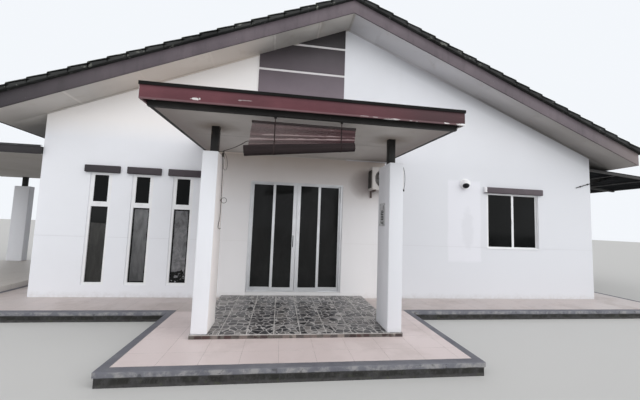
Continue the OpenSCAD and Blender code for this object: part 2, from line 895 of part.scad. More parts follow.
module canopy_columns() {
    foot = raft_h + platform_h;
    color("white") for (x = column_lefts)
        translate([x, -column_out, foot]) cube([column_w, column_d, column_top - foot]);
}

module canopy_posts() {
    color("black") for (x = post_lefts) along_x(x, x + post_w) polygon([[post_y0, column_top],
        [post_y1, column_top], [post_y1, ceiling_z + ceiling_t + lift(post_y1)],
        [post_y0, ceiling_z + ceiling_t + lift(post_y0)]]);
}

module canopy_beams() {
    inner_left = canopy_left + side_in;
    inner_right = canopy_right - side_in;
    count = 5;
    color("black") {
        block([canopy_left + beam_side, beam_front, ceiling_z],
            [canopy_right - beam_side, beam_front + beam_w, rafter_low]);
        for (x = [canopy_left + beam_side, inner_right])
            along_x(x, x + beam_w) canopy_band(beam_front + 1, 0, ceiling_z, rafter_low);
        along_x(inner_left - 1, inner_right + 1) {
            canopy_band(post_y0, post_y1, ceiling_z + ceiling_t + seat_gap, rafter_low);
            canopy_band(-beam_w, 0, ceiling_z + ceiling_t + seat_gap, rafter_low);
        }
        for (i = [0:count - 1]) let(x = canopy_left + fascia_t
                + i * (canopy_w - 2 * fascia_t - beam_w) / (count - 1))
            along_x(x, x + beam_w) canopy_band(-canopy_out + fascia_t, 0, rafter_low - 1, rafter_high);
    }
}

module canopy_ceiling() {
    color("gainsboro") difference() {
        along_x(canopy_left + side_in, canopy_right - side_in)
            canopy_band(beam_front + beam_w, 0, ceiling_z, ceiling_z + ceiling_t);
        for (x = post_lefts)
            block([x - post_gap, post_y0 - post_gap, ceiling_z - 1],
                [x + post_w + post_gap, post_y1 + post_gap, ceiling_z + ceiling_rise + ceiling_t + 1]);
    }
}

// Fascia on three sides.
module canopy_fascia() {
    color("brown") {
        block([canopy_left, -canopy_out, fascia_z], [canopy_right, -canopy_out + fascia_t, rafter_high]);
        for (x = [canopy_left, canopy_right - fascia_t])
            along_x(x, x + fascia_t) canopy_band(-canopy_out + fascia_t - 1, 0, fascia_z, rafter_high);
    }
}

// Ribbed sheet in X and Z: flat pans between raised ribs, centred on X.
module rib_section(width) {
    count = floor(width / rib_pitch);
    start = -(count - 1) * rib_pitch / 2;
    foot = rib_pitch * 0.2;
    head = rib_pitch * 0.1;
    centres = [for (i = [0:count - 1]) start + i * rib_pitch];
    top = [for (c = centres) each [[c - foot, sheet_t], [c - head, rib_h], [c + head, rib_h],
        [c + foot, sheet_t]]];
    under = [for (i = [count - 1:-1:0]) let(c = centres[i], k = sheet_t / 2) each [[c + foot - k, 0],
        [c + head - k, rib_h - sheet_t], [c - head + k, rib_h - sheet_t], [c - foot + k, 0]]];
    polygon(concat([[-width / 2, sheet_t]], top, [[width / 2, sheet_t], [width / 2, 0]], under,
        [[-width / 2, 0]]));
}

// Edge strips that hide the ribs: an upright leg outside the fascia and a flange over the ribs.
strip_low = rib_h + seat_gap + 0.1 + strip_t - strip_h;
strip_top = rib_h + seat_gap + 0.1 + strip_t;

module canopy_edge_strip() {
    x0 = canopy_left - strip_out;
    x1 = canopy_right + strip_out;
    y0 = -canopy_out - strip_out;
    color("black") {
        along_x(x0, x1) {
            canopy_band(y0, y0 + strip_t, rafter_high + strip_low, rafter_high + strip_top);
            canopy_band(y0, y0 + strip_w, rafter_high + strip_top - strip_t, rafter_high + strip_top);
        }
        for (x = [x0, x1 - strip_t]) along_x(x, x + strip_t)
            canopy_band(y0, 0, rafter_high + strip_low, rafter_high + strip_top);
        for (x = [x0, x1 - strip_w]) along_x(x, x + strip_w)
            canopy_band(y0, 0, rafter_high + strip_top - strip_t, rafter_high + strip_top);
    }
}

module canopy_sheet() {
    fall = atan(ceiling_rise / canopy_out);
    length = (canopy_out + sheet_over) / cos(fall);
    color("gray") translate([entrance_x, 0, rafter_high + ceiling_rise]) rotate([fall, 0, 0])
        along_y(-length, 0) rib_section(canopy_w + 2 * sheet_over);
}

// Blind

blind_left = blind_x - blind_w / 2;
blind_right = blind_x + blind_w / 2;
roll_tilt = atan((roll_right - roll_left) / blind_w);

// Head batten on two hooks that hang from the ceiling.
module blind_rail() {
    color("black") difference() {
        union() {
            block([blind_left, -blind_out - batten_t / 2, batten_top - batten_h],
                [blind_right, -blind_out + batten_t / 2, batten_top]);
            for (x = [blind_x + hook_shift - hook_span / 2, blind_x + hook_shift + hook_span / 2]) {
                translate([x, -blind_out, batten_top - 1]) cylinder(d = 10, h = 60, $fn = 24);
                translate([x, -blind_out, ceiling_z - 3]) cylinder(d = 34, h = 20, $fn = 24);
            }
        }
        along_x(blind_left, blind_right)
            canopy_band(beam_front, -100, ceiling_z - seat_gap, ceiling_z + 200);
    }
}

// Sheet of slats between the batten and the roll.
module slat_sheet() {
    along_y(-blind_out - slat_t / 2, -blind_out + slat_t / 2) polygon([
        [blind_left - sheet_slip, roll_left + roll_r * 0.5],
        [blind_right - sheet_slip_right, roll_right + roll_r_right * 0.5],
        [blind_right, batten_top - batten_h], [blind_left, batten_top - batten_h]]);
}

module blind_slats() {
    color("rosybrown") slat_sheet();
}

module blind_roll() {
    length = (blind_w + 2 * roll_past) / cos(roll_tilt);
    color("dimgray") difference() {
        translate([blind_left - roll_slip - roll_past, -blind_out + roll_r * 0.2,
            roll_left - roll_past * tan(roll_tilt)]) rotate([0, 90 - roll_tilt, 0])
            cylinder(r1 = roll_r, r2 = roll_r_right, h = length);
        slat_sheet();
    }
}

// Cords: a tube swept along hand-chosen points

function unit_v(v) = v / norm(v);
function curve(a, b, c, d, t) = 0.5 * (2 * b + (c - a) * t + (2 * a - 5 * b + 4 * c - d) * t * t
    + (3 * b - a - 3 * c + d) * t * t * t);

// Points along a smooth curve through the route, about three diameters apart.
function smooth(p) = [for (i = [0:len(p) - 2])
    let(n = ceil(norm(p[i + 1] - p[i]) / (cord_d * 3.5))) for (k = [0:n - 1])
    curve(p[max(i - 1, 0)], p[i], p[i + 1], p[min(i + 2, len(p) - 1)], k / n), p[len(p) - 1]];
function heading(p, i) = unit_v(p[min(i + 1, len(p) - 1)] - p[max(i - 1, 0)]);
function across(t) = unit_v([1, 1, 1] - t * (t[0] + t[1] + t[2]));

module tube(route, radius, sides) {
    path = smooth(route);
    last = len(path) - 1;
    rings = [for (i = [0:last]) let(t = heading(path, i), u = across(t), v = cross(t, u))
        for (k = [0:sides - 1]) path[i] + radius * (cos(360 * k / sides) * u + sin(360 * k / sides) * v)];
    skin = [for (i = [0:last - 1]) for (k = [0:sides - 1])
        let(a = i * sides + k, b = i * sides + (k + 1) % sides)
        each [[a, b + sides, b], [a, a + sides, b + sides]]];
    ends = [[for (k = [0:sides - 1]) k], [for (k = [sides - 1:-1:0]) last * sides + k]];
    polyhedron(points = rings, faces = concat(skin, ends));
}

// The blind's cord: off the sheet's left edge, over a hook on the left column, then hanging free.
pull_route = [[-1657.4, -2425, 2520], [-1676, -2421, 2516], [-1750, -2312, 2504], [-1850, -2150, 2501],
    [-1950, -1986, 2509], [-2015, -1866, 2522], [-2044, -1810, 2527.5], [-2057, -1794, 2522.8],
    [-2058, -1788.5, 2520.5], [-2059, -1786.2, 2515], [-2060, -1786, 2479], [-2056, -1786, 2380],
    [-2051, -1787, 2280], [-2050, -1786, 2160], [-2049, -1786, 2040], [-2048, -1785, 1920],
    [-2047, -1786, 1800], [-2047, -1785, 1700], [-2049, -1785, 1620], [-2057, -1788, 1560],
    [-2061, -1793, 1520], [-2057, -1800, 1488], [-2042, -1804, 1474], [-2028, -1804, 1488]];
// A short stiff cord tied to the right post, bent over the column's edge.
column_route = [[340, -1844, 2480], [340, -1856, 2480], [350, -1876, 2480], [374, -1891, 2480],
    [404, -1898, 2478], [434, -1900, 2462], [456, -1901, 2427], [470, -1901, 2380], [478, -1901, 2320],
    [480, -1901, 2250], [477, -1901, 2183], [470, -1901, 2140], [463, -1901, 2108]];

module pull_cord() {
    color("saddlebrown") tube(pull_route, cord_d / 2, 8);
}

module column_cord() {
    color("dimgray") tube(column_route, cord_d / 2, 8);
}

// Screw hook in the left column's inner face, with its tip turned up.
module cord_hook() {
    x = post_lefts[0] + post_w;
    tip = [-2043, -1794, 2515];
    color("black") {
        translate([x, tip[1], tip[2]]) rotate([0, 90, 0]) cylinder(d = 6, h = tip[0] + 3 - x);
        translate(tip) cylinder(d = 6, h = 20);
        translate([x, tip[1], tip[2]]) rotate([0, 90, 0]) cylinder(d = 14, h = 3);
    }
}

// Fittings

camera_x = wide_x - wide_w / 2 - hood_past_wide - camera_gap - camera_r;

module number_plate() {
    x = column_lefts[1];
    y = -column_out + plate_in;
    color("gray") difference() {
        block([x - plate_t, y, plate_z], [x, y + plate_w, plate_z + plate_h]);
        block([x - plate_t - 1, y + 12, plate_z + 12],
            [x - plate_t + 2, y + plate_w - 12, plate_z + plate_h - 12]);
    }
}

// Dark ball that looks down and to the left out of the dome.
module camera_ball() {
    intersection() {
        translate([-camera_dome * 0.14, -camera_dome * 0.3, 40 + camera_dome * 0.25])
            sphere(r = camera_dome * 0.78);
        translate([-camera_r, -2 * camera_r, 30]) cube([2 * camera_r, 3 * camera_r, 2 * camera_r]);
    }
}

module camera_housing() {
    color("white") translate([camera_x, 0, camera_z]) rotate([90, 0, 0]) difference() {
        union() {
            cylinder(r = camera_r, h = 22);
            translate([0, 0, 21]) cylinder(r1 = camera_r * 0.9, r2 = camera_dome, h = 20);
            translate([0, 0, 40]) sphere(r = camera_dome);
        }
        translate([0, 0, -camera_r]) cylinder(r = 2 * camera_r, h = camera_r);
        camera_ball();
    }
}

module camera_lens() {
    color("black") translate([camera_x, 0, camera_z]) rotate([90, 0, 0])
        camera_ball();
}

module rounded(w, h, r) {
    translate([r, 0]) square([w - 2 * r, h]);
    translate([0, r]) square([w, h - 2 * r]);
    for (x = [r, w - r]) for (y = [r, h - r]) translate([x, y]) circle(r = r);
}

unit_front = -unit_gap - unit_d;

// Housing with a round fan mouth, a lid with a lip and louvres in its left side.
module unit_housing() {
    color("whitesmoke") difference() {
        union() {
            translate([unit_x, unit_front, unit_z]) linear_extrude(unit_h - 20) rounded(unit_w, unit_d, 18);
            translate([unit_x - 4, unit_front - 4, unit_z + unit_h - 20])
                linear_extrude(20) rounded(unit_w + 8, unit_d + 8, 20);
        }
        translate([unit_x + fan_x, unit_front - 5, unit_z + unit_h / 2]) rotate([-90, 0, 0])
            cylinder(r = fan_r, h = 140);
        for (i = [0:8])
            block([unit_x - 5, unit_front + 50, unit_z + 60 + i * 36],
                [unit_x + 8, unit_front + 210, unit_z + 76 + i * 36]);
    }
}

// Concentric rings joined by spokes, seated in the mouth of the housing.
module fan_grille() {
    pitch_r = (fan_r - 40) / ring_count;
    color("white") translate([unit_x + fan_x, unit_front - 4, unit_z + unit_h / 2]) rotate([-90, 0, 0]) {
        for (i = [1:ring_count]) rotate_extrude() translate([38 + i * pitch_r - wire_t, 0])
            square([wire_t + (i == ring_count ? 2 : 0), wire_t + 3]);
        cylinder(r = 38, h = wire_t + 3);
        for (a = [0:30:330]) rotate([0, 0, a]) translate([30, -wire_t / 2, wire_t - 0.5])
            cube([fan_r - 34, wire_t, 3]);
    }
}

// Three broad blades on a hub and shaft.
module fan_blades() {
    color("dimgray") translate([unit_x + fan_x, unit_front + 50, unit_z + unit_h / 2]) rotate([-90, 0, 0]) {
        cylinder(r = 45, h = 50);
        cylinder(r = 10, h = 85);
        for (a = [0:120:240]) rotate([0, 0, a]) translate([30, 0, 22]) rotate([28, 0, 0])
            linear_extrude(4) polygon([[0, -28], [70, -62], [135, -50], [138, 30], [70, 48], [0, 26]]);
    }
}

// Two welded angle brackets, each with a wall plate, an arm and a brace.
module unit_brackets() {
    reach = unit_gap + unit_d;
    color("dimgray") for (x = [unit_x + 60, unit_x + unit_w - 90]) along_x(x, x + 30) polygon([
        [0, unit_z], [-reach, unit_z], [-reach, unit_z - 30], [-40, unit_z - 30], [-40, unit_z - 140],
        [0, unit_z - 140]]);
}

// Side porch

porch_left = -wall_left - porch_w;
porch_edge = -wall_left - apron_left;
porch_col_y = [porch_col_front, porch_col_back];
porch_posts_x = -wall_left - porch_col_x + (porch_col_w - post_w) / 2;
porch_top = porch_z + porch_fascia;

module porch_slab() {
    color("darkgray") block([-wall_left - porch_col_x - 150, -porch_front, 0],
        [porch_edge, porch_back, porch_floor]);
}

module porch_columns() {
    color("white") for (y = porch_col_y) block([-wall_left - porch_col_x, y, porch_floor],
        [-wall_left - porch_col_x + porch_col_w, y + porch_col_d, porch_col_top]);
}

module porch_posts() {
    color("black") for (y = porch_col_y)
        block([porch_posts_x, y + (porch_col_d - post_w) / 2, porch_col_top],
        [porch_posts_x + post_w, y + (porch_col_d + post_w) / 2, porch_z + ceiling_t]);
}

module porch_beams() {
    low = porch_z + ceiling_t;
    inner_left = porch_left + fascia_t;
    color("black") {
        for (y = [-porch_front + fascia_t, porch_back - fascia_t - beam_w])
            block([inner_left, y, low], [-wall_left, y + beam_w, porch_top]);
        for (x = [inner_left, porch_posts_x + (post_w - beam_w) / 2, -wall_left - beam_w])
            block([x, -porch_front + fascia_t, low], [x + beam_w, porch_back - fascia_t, porch_top]);
        for (y = porch_col_y)
            block([inner_left, y + (porch_col_d - post_w) / 2, low],
                [-wall_left, y + (porch_col_d + post_w) / 2, porch_top]);
    }
}

module porch_ceiling() {
    color("gainsboro") difference() {
        block([porch_left + fascia_t, -porch_front + fascia_t, porch_z],
            [-wall_left, porch_back - fascia_t, porch_z + ceiling_t]);
        for (y = porch_col_y)
            block([porch_posts_x - post_gap, y + (porch_col_d - post_w) / 2 - post_gap, porch_z - 1],
                [porch_posts_x + post_w + post_gap, y + (porch_col_d + post_w) / 2 + post_gap, porch_top]);
    }
}

module porch_fascia_boards() {
    color("dimgray") {
        for (y = [-porch_front, porch_back - fascia_t])
            block([porch_left, y, porch_z], [-wall_left, y + fascia_t, porch_top]);
        block([porch_left, -porch_front, porch_z], [porch_left + fascia_t, porch_back, porch_top]);
    }
}

module porch_sheet() {
    color("gray") translate([-wall_left - (porch_w + sheet_over) / 2, 0, porch_top])
        along_y(-porch_front - sheet_over, porch_back + sheet_over) rib_section(porch_w + sheet_over);
}

module porch_edge_strip() {
    x0 = porch_left - strip_out;
    y0 = -porch_front - strip_out;
    y1 = porch_back + strip_out;
    low = porch_top + strip_low;
    top = porch_top + strip_top;
    color("dimgray") {
        for (y = [y0, y1 - strip_t]) block([x0, y, low], [-wall_left, y + strip_t, top]);
        for (y = [y0, y1 - strip_w]) block([x0, y, top - strip_t], [-wall_left, y + strip_w, top]);
        block([x0, y0, low], [x0 + strip_t, y1, top]);
        block([x0, y0, top - strip_t], [x0 + strip_w, y1, top]);
    }
}

// Side awning

awning_fall = atan(awning_drop / awning_w);
awning_steel_top = soffit_z(eave_right) - awning_under - rib_h - 3
    + awning_drop * (eave_right - wall_right) / awning_w;
function awning_low(x) = awning_steel_top - awning_drop * x / awning_w;

// Outline in X and Z, x0 to x1 off the right wall, that follows the awning's fall.
module awning_band(x0, x1, low, high) {
    polygon([[wall_right + x0, awning_low(x0) + low], [wall_right + x1, awning_low(x1) + low],
        [wall_right + x1, awning_low(x1) + high], [wall_right + x0, awning_low(x0) + high]]);
}

module awning_sheet() {
    length = awning_w / cos(awning_fall);
    color("dimgray") translate([wall_right, awning_l / 2, awning_steel_top]) rotate([0, awning_fall, 0])
        rotate([0, 0, 90]) along_y(-length, 0) rib_section(awning_l);
}

// Wall plate, purlins and outer beam along the wall, rafters across, and two posts.
module awning_frame() {
    post_x = awning_w - 100;
    rafters = 5;
    color("dimgray") translate([0, 0, -seat_gap]) {
        for (i = [0:rafters - 1]) let(y = 20 + i * (awning_l - 40 - awning_post) / (rafters - 1))
            along_y(y, y + awning_post) awning_band(0, awning_w - 30, -awning_steel, 0);
        for (x = [0, awning_w / 3, awning_w * 2 / 3, awning_w - 100])
            along_y(20, awning_l - 20) awning_band(x, x + 40, -awning_steel / 2, 0);
        for (y = [20, awning_l - 20 - awning_post])
            along_y(y, y + awning_post) polygon([[wall_right + post_x, seat_gap],
                [wall_right + post_x + awning_post, seat_gap],
                [wall_right + post_x + awning_post, awning_low(post_x + awning_post) - awning_steel + 1],
                [wall_right + post_x, awning_low(post_x) - awning_steel + 1]]);
    }
}

// Short rod held to the front wall by two clips, next to the right corner.
module corner_rod() {
    tip = [wall_right - rod_run, -rod_d / 2 - 6, rod_z];
    color("black") {
        translate(tip) rotate([0, 90 - atan(rod_rise / rod_run), 0])
            cylinder(d = rod_d, h = norm([rod_rise, rod_run]));
        for (k = [0.3, 0.8]) block([tip[0] + rod_run * k - 10, -rod_d / 2 - 6, tip[2] + rod_rise * k - 16],
            [tip[0] + rod_run * k + 10, 0, tip[2] + rod_rise * k + 16]);
    }
}

raft();
floor_slab();
floor_tiles();
platform();
front_wall_left();
front_wall_right();
front_gable();
back_wall();
left_wall();
right_wall();
roof_left();
roof_right();
ridge_tiles();
barge_boards();
eave_boards();
gable_soffits();
eave_soffits();
gable_panel();
window_hoods();
window_frames();
window_glass();
door_frame();
fixed_leaves();
fixed_glass();
sliding_leaf_left();
sliding_glass_left();
sliding_leaf_right();
sliding_glass_right();
pull_handle();
canopy_columns();
canopy_posts();
canopy_beams();
canopy_ceiling();
canopy_fascia();
canopy_sheet();
canopy_edge_strip();
blind_rail();
blind_slats();
blind_roll();
pull_cord();
column_cord();
cord_hook();
number_plate();
camera_housing();
camera_lens();
unit_housing();
fan_grille();
fan_blades();
unit_brackets();
porch_slab();
porch_columns();
porch_posts();
porch_beams();
porch_ceiling();
porch_fascia_boards();
porch_sheet();
porch_edge_strip();
awning_sheet();
awning_frame();
corner_rod();
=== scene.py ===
import math
import random
import bpy
import bmesh
from mathutils import Matrix, Vector


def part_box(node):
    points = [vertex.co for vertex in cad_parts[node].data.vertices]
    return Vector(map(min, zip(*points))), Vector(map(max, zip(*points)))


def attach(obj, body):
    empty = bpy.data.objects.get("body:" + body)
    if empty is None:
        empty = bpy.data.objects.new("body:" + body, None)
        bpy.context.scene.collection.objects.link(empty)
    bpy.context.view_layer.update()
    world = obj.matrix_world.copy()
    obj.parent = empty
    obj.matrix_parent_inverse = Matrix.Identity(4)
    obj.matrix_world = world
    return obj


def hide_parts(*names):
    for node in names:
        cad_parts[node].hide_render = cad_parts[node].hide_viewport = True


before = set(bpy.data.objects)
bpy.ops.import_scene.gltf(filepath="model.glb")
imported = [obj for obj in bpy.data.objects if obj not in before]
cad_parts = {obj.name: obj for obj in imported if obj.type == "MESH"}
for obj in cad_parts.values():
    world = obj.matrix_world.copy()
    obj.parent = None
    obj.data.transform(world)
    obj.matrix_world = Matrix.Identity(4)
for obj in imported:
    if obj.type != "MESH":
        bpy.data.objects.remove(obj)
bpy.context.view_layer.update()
dice = random.Random(23)


# shader helpers

class Signal:
    # one socket; arithmetic on it adds Math nodes
    def __init__(self, nodes, socket):
        self.nodes, self.socket = nodes, socket

    def __add__(self, other):
        return self.nodes.maths("ADD", self, other)

    __radd__ = __add__

    def __sub__(self, other):
        return self.nodes.maths("SUBTRACT", self, other)

    def __rsub__(self, other):
        return self.nodes.maths("SUBTRACT", other, self)

    def __mul__(self, other):
        return self.nodes.maths("MULTIPLY", self, other)

    __rmul__ = __mul__

    def __truediv__(self, other):
        return self.nodes.maths("DIVIDE", self, other)

    def __rtruediv__(self, other):
        return self.nodes.maths("DIVIDE", other, self)

    def __gt__(self, other):
        return self.nodes.maths("GREATER_THAN", self, other)

    def __lt__(self, other):
        return self.nodes.maths("LESS_THAN", self, other)

    def __abs__(self):
        return self.nodes.maths("ABSOLUTE", self)


class Nodes:
    # a node tree: every node but the shader comes from add(), which hands out one of its sockets
    def __init__(self, tree):
        self.tree = tree

    def feed(self, socket, value):
        if isinstance(value, Signal):
            self.tree.links.new(value.socket, socket)
        else:
            socket.default_value = (*value, 1.0) if socket.type == "RGBA" else value

    def add(self, kind, settings=None, inputs=None, out=0):
        node = self.tree.nodes.new("ShaderNode" + kind)
        for key, value in (settings or {}).items():
            if key == "stops":
                self.layStops(node.color_ramp.elements, value)
            else:
                setattr(node, key, value)
        for key, value in (inputs or {}).items():
            self.feed(node.inputs[key], value)
        return Signal(self, node.outputs[out]) if node.outputs else None

    def layStops(self, elements, stops):
        elements[0].position, elements[1].position = stops[0][0], stops[-1][0]
        for position, tint in stops[1:-1]:
            elements.new(position)
        for element, (position, tint) in zip(elements, stops):
            element.color = (*tint, 1.0)

    def maths(self, kind, first, second=0.0, clip=False):
        return self.add("Math", {"operation": kind, "use_clamp": clip}, {0: first, 1: second})

    def span(self, value, low, high, outLow=0.0, outHigh=1.0):
        return self.add("MapRange", {"clamp": True}, {"Value": value, "From Min": low, "From Max": high,
                                                      "To Min": outLow, "To Max": outHigh})


class Finish(Nodes):
    # one material; tint() lays one more colour over those so far
    def __init__(self, name, roughness=0.7, metallic=0.0, specular=0.5):
        self.material = bpy.data.materials.new(name)
        self.material.use_nodes = True
        super().__init__(self.material.node_tree)
        self.shader = self.tree.nodes["Principled BSDF"]
        for word, value in (("Roughness", roughness), ("Metallic", metallic), ("Specular IOR Level", specular)):
            self.shader.inputs[word].default_value = value

    def place(self, stretch=(1, 1, 1)):
        spot = self.add("TexCoord", out="Object")
        return spot if stretch == (1, 1, 1) else self.add("Mapping", {}, {"Vector": spot, "Scale": stretch})

    def axes(self):
        # x, y and z: across the front, into the house, up
        first = self.add("SeparateXYZ", {}, {0: self.place()})
        return [Signal(self, socket) for socket in first.socket.node.outputs]

    def noise(self, scale, detail=3.0, rough=0.5, stretch=(1, 1, 1), warp=0.0):
        return self.add("TexNoise", {}, {"Vector": self.place(stretch), "Scale": scale, "Detail": detail,
                                         "Roughness": rough, "Distortion": warp})

    def patchy(self, scale, low=0.3, high=0.7, detail=5, rough=0.6, **more):
        return self.span(self.noise(scale, detail, rough, **more), low, high)

    def sway(self, size, scale, *noise, **more):
        # noise around zero, this wide in all
        return (self.noise(scale, *noise, **more) - 0.5) * size

    def flecks(self, amount, scale, detail=6.0, stretch=(1, 1, 1)):
        # worn or chipped spots: 1 inside a spot
        return self.patchy(scale, amount, amount + 0.03, detail, 0.62, stretch=stretch)

    def cells(self, scale, feature="F1", stretch=(1, 1, 1), spread=1.0, out=0):
        return self.add("TexVoronoi", {"feature": feature},
                        {"Vector": self.place(stretch), "Scale": scale, "Randomness": spread}, out)

    def perTile(self, *numbers):
        # one random value for each tile that these whole numbers name
        spot = self.add("CombineXYZ", {}, dict(enumerate(numbers)))
        return self.add("TexWhiteNoise", {"noise_dimensions": "%dD" % len(numbers)}, {"Vector": spot})

    def fade(self, value, low, high):
        return self.span(value, low, high, 1, 0)

    def blend(self, low, high, share):
        return self.add("Mix", {"data_type": "RGBA"}, {0: share, 6: low, 7: high}, 2)

    def tint(self, colour, share):
        self.colour = self.blend(self.colour, colour, share)

    def ramp(self, value, stops):
        return self.add("ValToRGB", {"stops": stops}, {0: value})

    def bump(self, height, distance, strength=1.0, **onto):
        return self.add("Bump", {}, {"Height": height, "Distance": distance, "Strength": strength, **onto})

    def grain(self, scale=140.0, distance=0.0006, strength=0.4):
        return self.bump(self.noise(scale, 4, 0.6), distance, strength)

    def done(self, relief=None, rough=None, metal=None):
        # rough and metal: a signal with the values at its 0 and its 1
        sockets = {"Base Color": self.colour, "Normal": relief, "Roughness": rough, "Metallic": metal}
        for word, value in sockets.items():
            if isinstance(value, tuple) and isinstance(value[0], Signal):
                value = self.span(value[0], 0, 1, *value[1:])
            if value is not None:
                self.feed(self.shader.inputs[word], value)
        return self.material


def shaded(tint, shade):
    return tuple(c * shade for c in tint)


def oval(across, height, x, z, wide, tall):
    # squared distance from a spot on the front, 1 at its rim
    aside, aloft = (across - x) * (1 / wide), (height - z) * (1 / tall)
    return aside * aside + aloft * aloft


# finishes

plasterLook = {"white": (0.795, 0.81, 0.855), "shade": (0.735, 0.745, 0.775), "runs": (0.55, 0.54, 0.52),
               "dull": (0.70, 0.715, 0.755), "patch": (0.80, 0.805, 0.86), "smear": (0.52, 0.53, 0.56),
               "stain": (0.72, 0.675, 0.61), "paintedVergeShadow": (0.36, 0.36, 0.385),
               "warmGable": (0.94, 0.895, 0.86), "paintedLightColumnSide": (0.94, 0.895, 0.88),
               "groove": (0.62, 0.62, 0.64), "sooty": (0.50, 0.425, 0.37), "paintedWarmBounce": (0.85, 0.805, 0.775),
               "soot": (0.33, 0.275, 0.265), "dirt": (0.40, 0.37, 0.33), "specks": (0.38, 0.36, 0.33),
               "splashTop": 0.26, "grooveZ": 1.219, "patchAt": (2.27, 3.02, 0.91, 2.63),
               "smearAt": (2.72, 1.60, 0.14, 0.42), "darkBrownSpotAt": (0.43, 2.44, 0.34, 0.32),
               "paintedLightSideAt": (-2.0705, -2.0655), "canopyBay": (-2.72, 0.86),
               "columnFront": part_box("canopy_columns")[0].y + 0.003}


def whitePlaster():
    f, look = Finish("whitePlaster", roughness=0.82), plasterLook
    across, depth, height = f.axes()
    front = abs(depth) < 0.02
    cloud = f.patchy(0.45, 0.35, 0.68, rough=0.62)
    f.colour = f.blend(look["shade"], look["white"], f.span(cloud, 0.0, 0.75, 0.55, 1.0))
    runs = f.patchy(7.0, 0.6, 0.8, 4, stretch=(1, 1, 0.05))
    f.tint(look["runs"], runs * f.span(height, 1.4, 3.4) * 0.07)
    dull = f.span(across, 0.62, 0.95) * f.fade(height, 2.9, 3.6)
    f.tint(look["dull"], f.maths("MAXIMUM", dull, (across > 0.0) * (depth < look["columnFront"])) * 0.8)
    # a patch of newer paint with a smear on it
    left, right, low, high = look["patchAt"]
    wander = f.sway(0.05, 2.6, 4, 0.6)
    aside, aloft = across + wander, height + wander
    inside = f.span(aside, left - 0.02, left + 0.02) * f.fade(aside, right - 0.02, right + 0.02)
    inside = inside * f.span(aloft, low - 0.03, low + 0.03) * f.fade(aloft, high - 0.03, high + 0.03)
    inside = inside * (depth < 0.02) * (depth > -0.02)
    f.tint(look["patch"], inside * 0.7)
    smear = f.fade(oval(across, height, *look["smearAt"]) + f.sway(2.4, 5.0, 6, 0.7), 0.5, 1.3)
    f.tint(look["smear"], smear * inside * 0.2)
    # under the verges: darker and warmer below the left verge, and a painted shadow below the right verge
    drop = roof["apex"] - abs(across) * roof["slope"] - height
    stain = f.fade(drop + f.sway(0.5, 1.6, 5, 0.62), 0.0, 0.45) * (across < 0.0) * (depth < 0.02)
    f.tint(look["stain"], stain * 0.22)
    # painted shadow under the right verge, fading down from the soffit
    f.tint(look["paintedVergeShadow"], f.span(across, 0.4, 1.4) * front * f.span(drop, 0.02, 0.28, 0.68, 0.0))
    # painted warm light on the left gable, higher up
    f.tint(look["warmGable"], (across < -1.0) * front * f.span(height, 3.0, 3.4) * 0.6)
    # painted light on the inner side of the left canopy column
    low, high = look["paintedLightSideAt"]
    f.tint(look["paintedLightColumnSide"], (across > low) * (across < high) * (depth < -1.5))
    f.tint(look["groove"], f.fade(abs(height - look["grooveZ"]), 0.004, 0.008) * front * 0.3)
    # painted shade under the canopy, deepening towards its ceiling, a painted warm bounce lower down and a darker
    # brown spot round the air-conditioner
    left, right = look["canopyBay"]
    bay = (across > left) * (across < right) * (depth < 0.02) * (depth > -0.02)
    high = f.span(height + f.sway(0.3, 1.2, 4), 1.9, 2.85)
    # painted shade on the wall under the canopy, darker higher up
    f.tint(look["sooty"], bay * (height < 2.97) * high * 0.85)
    # painted warm bounce light on the lower wall under the canopy
    f.tint(look["paintedWarmBounce"], bay * f.span(height, 2.2, 2.7, 0.4, 0.0))
    # a darker brown spot round the air-conditioner
    soot = f.fade(oval(across, height, *look["darkBrownSpotAt"]) + f.sway(0.8, 4.0, 4, 0.6), 0.25, 1.1) * bay
    f.tint(look["soot"], soot * 0.5)
    # splashes along the foot
    splash = f.fade(height + f.sway(0.16, 5.0, 5, 0.65), 0.15, look["splashTop"])
    f.tint(look["dirt"], splash * f.span(f.noise(16, 5, 0.7), 0.35, 0.7, 0.05, 0.42))
    f.tint(look["specks"], f.flecks(0.72, 42, 5) * f.span(height, 0.3, 1.2, 0.5, 0.08) * 0.4)
    trowel = f.bump(f.noise(3.2, 4, 0.6), 0.006, 0.35)
    return f.done(f.bump(f.noise(170, 4, 0.7), 0.0009, 0.45, Normal=trowel), (cloud, 0.88, 0.76))


paintLook = {"mauve": (0.118, 0.098, 0.112), "faded": (0.185, 0.155, 0.172), "deep": (0.052, 0.047, 0.050),
             "soiled": (0.036, 0.033, 0.037), "sunlit": (0.24, 0.205, 0.195), "chalk": (0.33, 0.30, 0.31),
             "bare": (0.80, 0.80, 0.82), "bareAt": (3.0, 3.138, 2.402, 2.53)}


def mauvePaint(name, shade, soiled, darkeningUntil):
    f, look = Finish(name, roughness=0.55, specular=0.18), paintLook
    across, depth, height = f.axes()
    drift = f.patchy(0.9, 0.33, 0.68)
    f.colour = f.blend(shaded(look["mauve"], shade), shaded(look["faded"], shade), drift)
    f.tint(look["deep"], f.patchy(5.5, 0.50, 0.72, 4, 0.65, stretch=(1, 1, 0.18)) * 0.4)
    # darker towards the left end; on the window hoods this is painted shade
    f.tint(look["soiled"], f.span(across, -6.1, darkeningUntil, soiled, 0.0))
    f.tint(look["sunlit"], f.span(across, 5.0, 6.6, 0.0, 0.8))
    f.tint(look["chalk"], f.flecks(0.685, 30) * 0.45)
    left, right, low, high = look["bareAt"]
    end = across + f.sway(0.04, 14, 4)
    f.tint(look["bare"], (end < right) * (end > left) * (height > low) * (height < high) * (depth < 0.0))
    return f.done(f.grain(220, 0.0003), (drift, 0.48, 0.66))


panelLook = {"dark": (0.182, 0.148, 0.172), "pale": (0.235, 0.194, 0.224), "sooty": (0.036, 0.034, 0.035),
             "chalk": (0.30, 0.27, 0.29), "paintedShadeFrom": 3.95, "paintedShadeTo": 5.35}


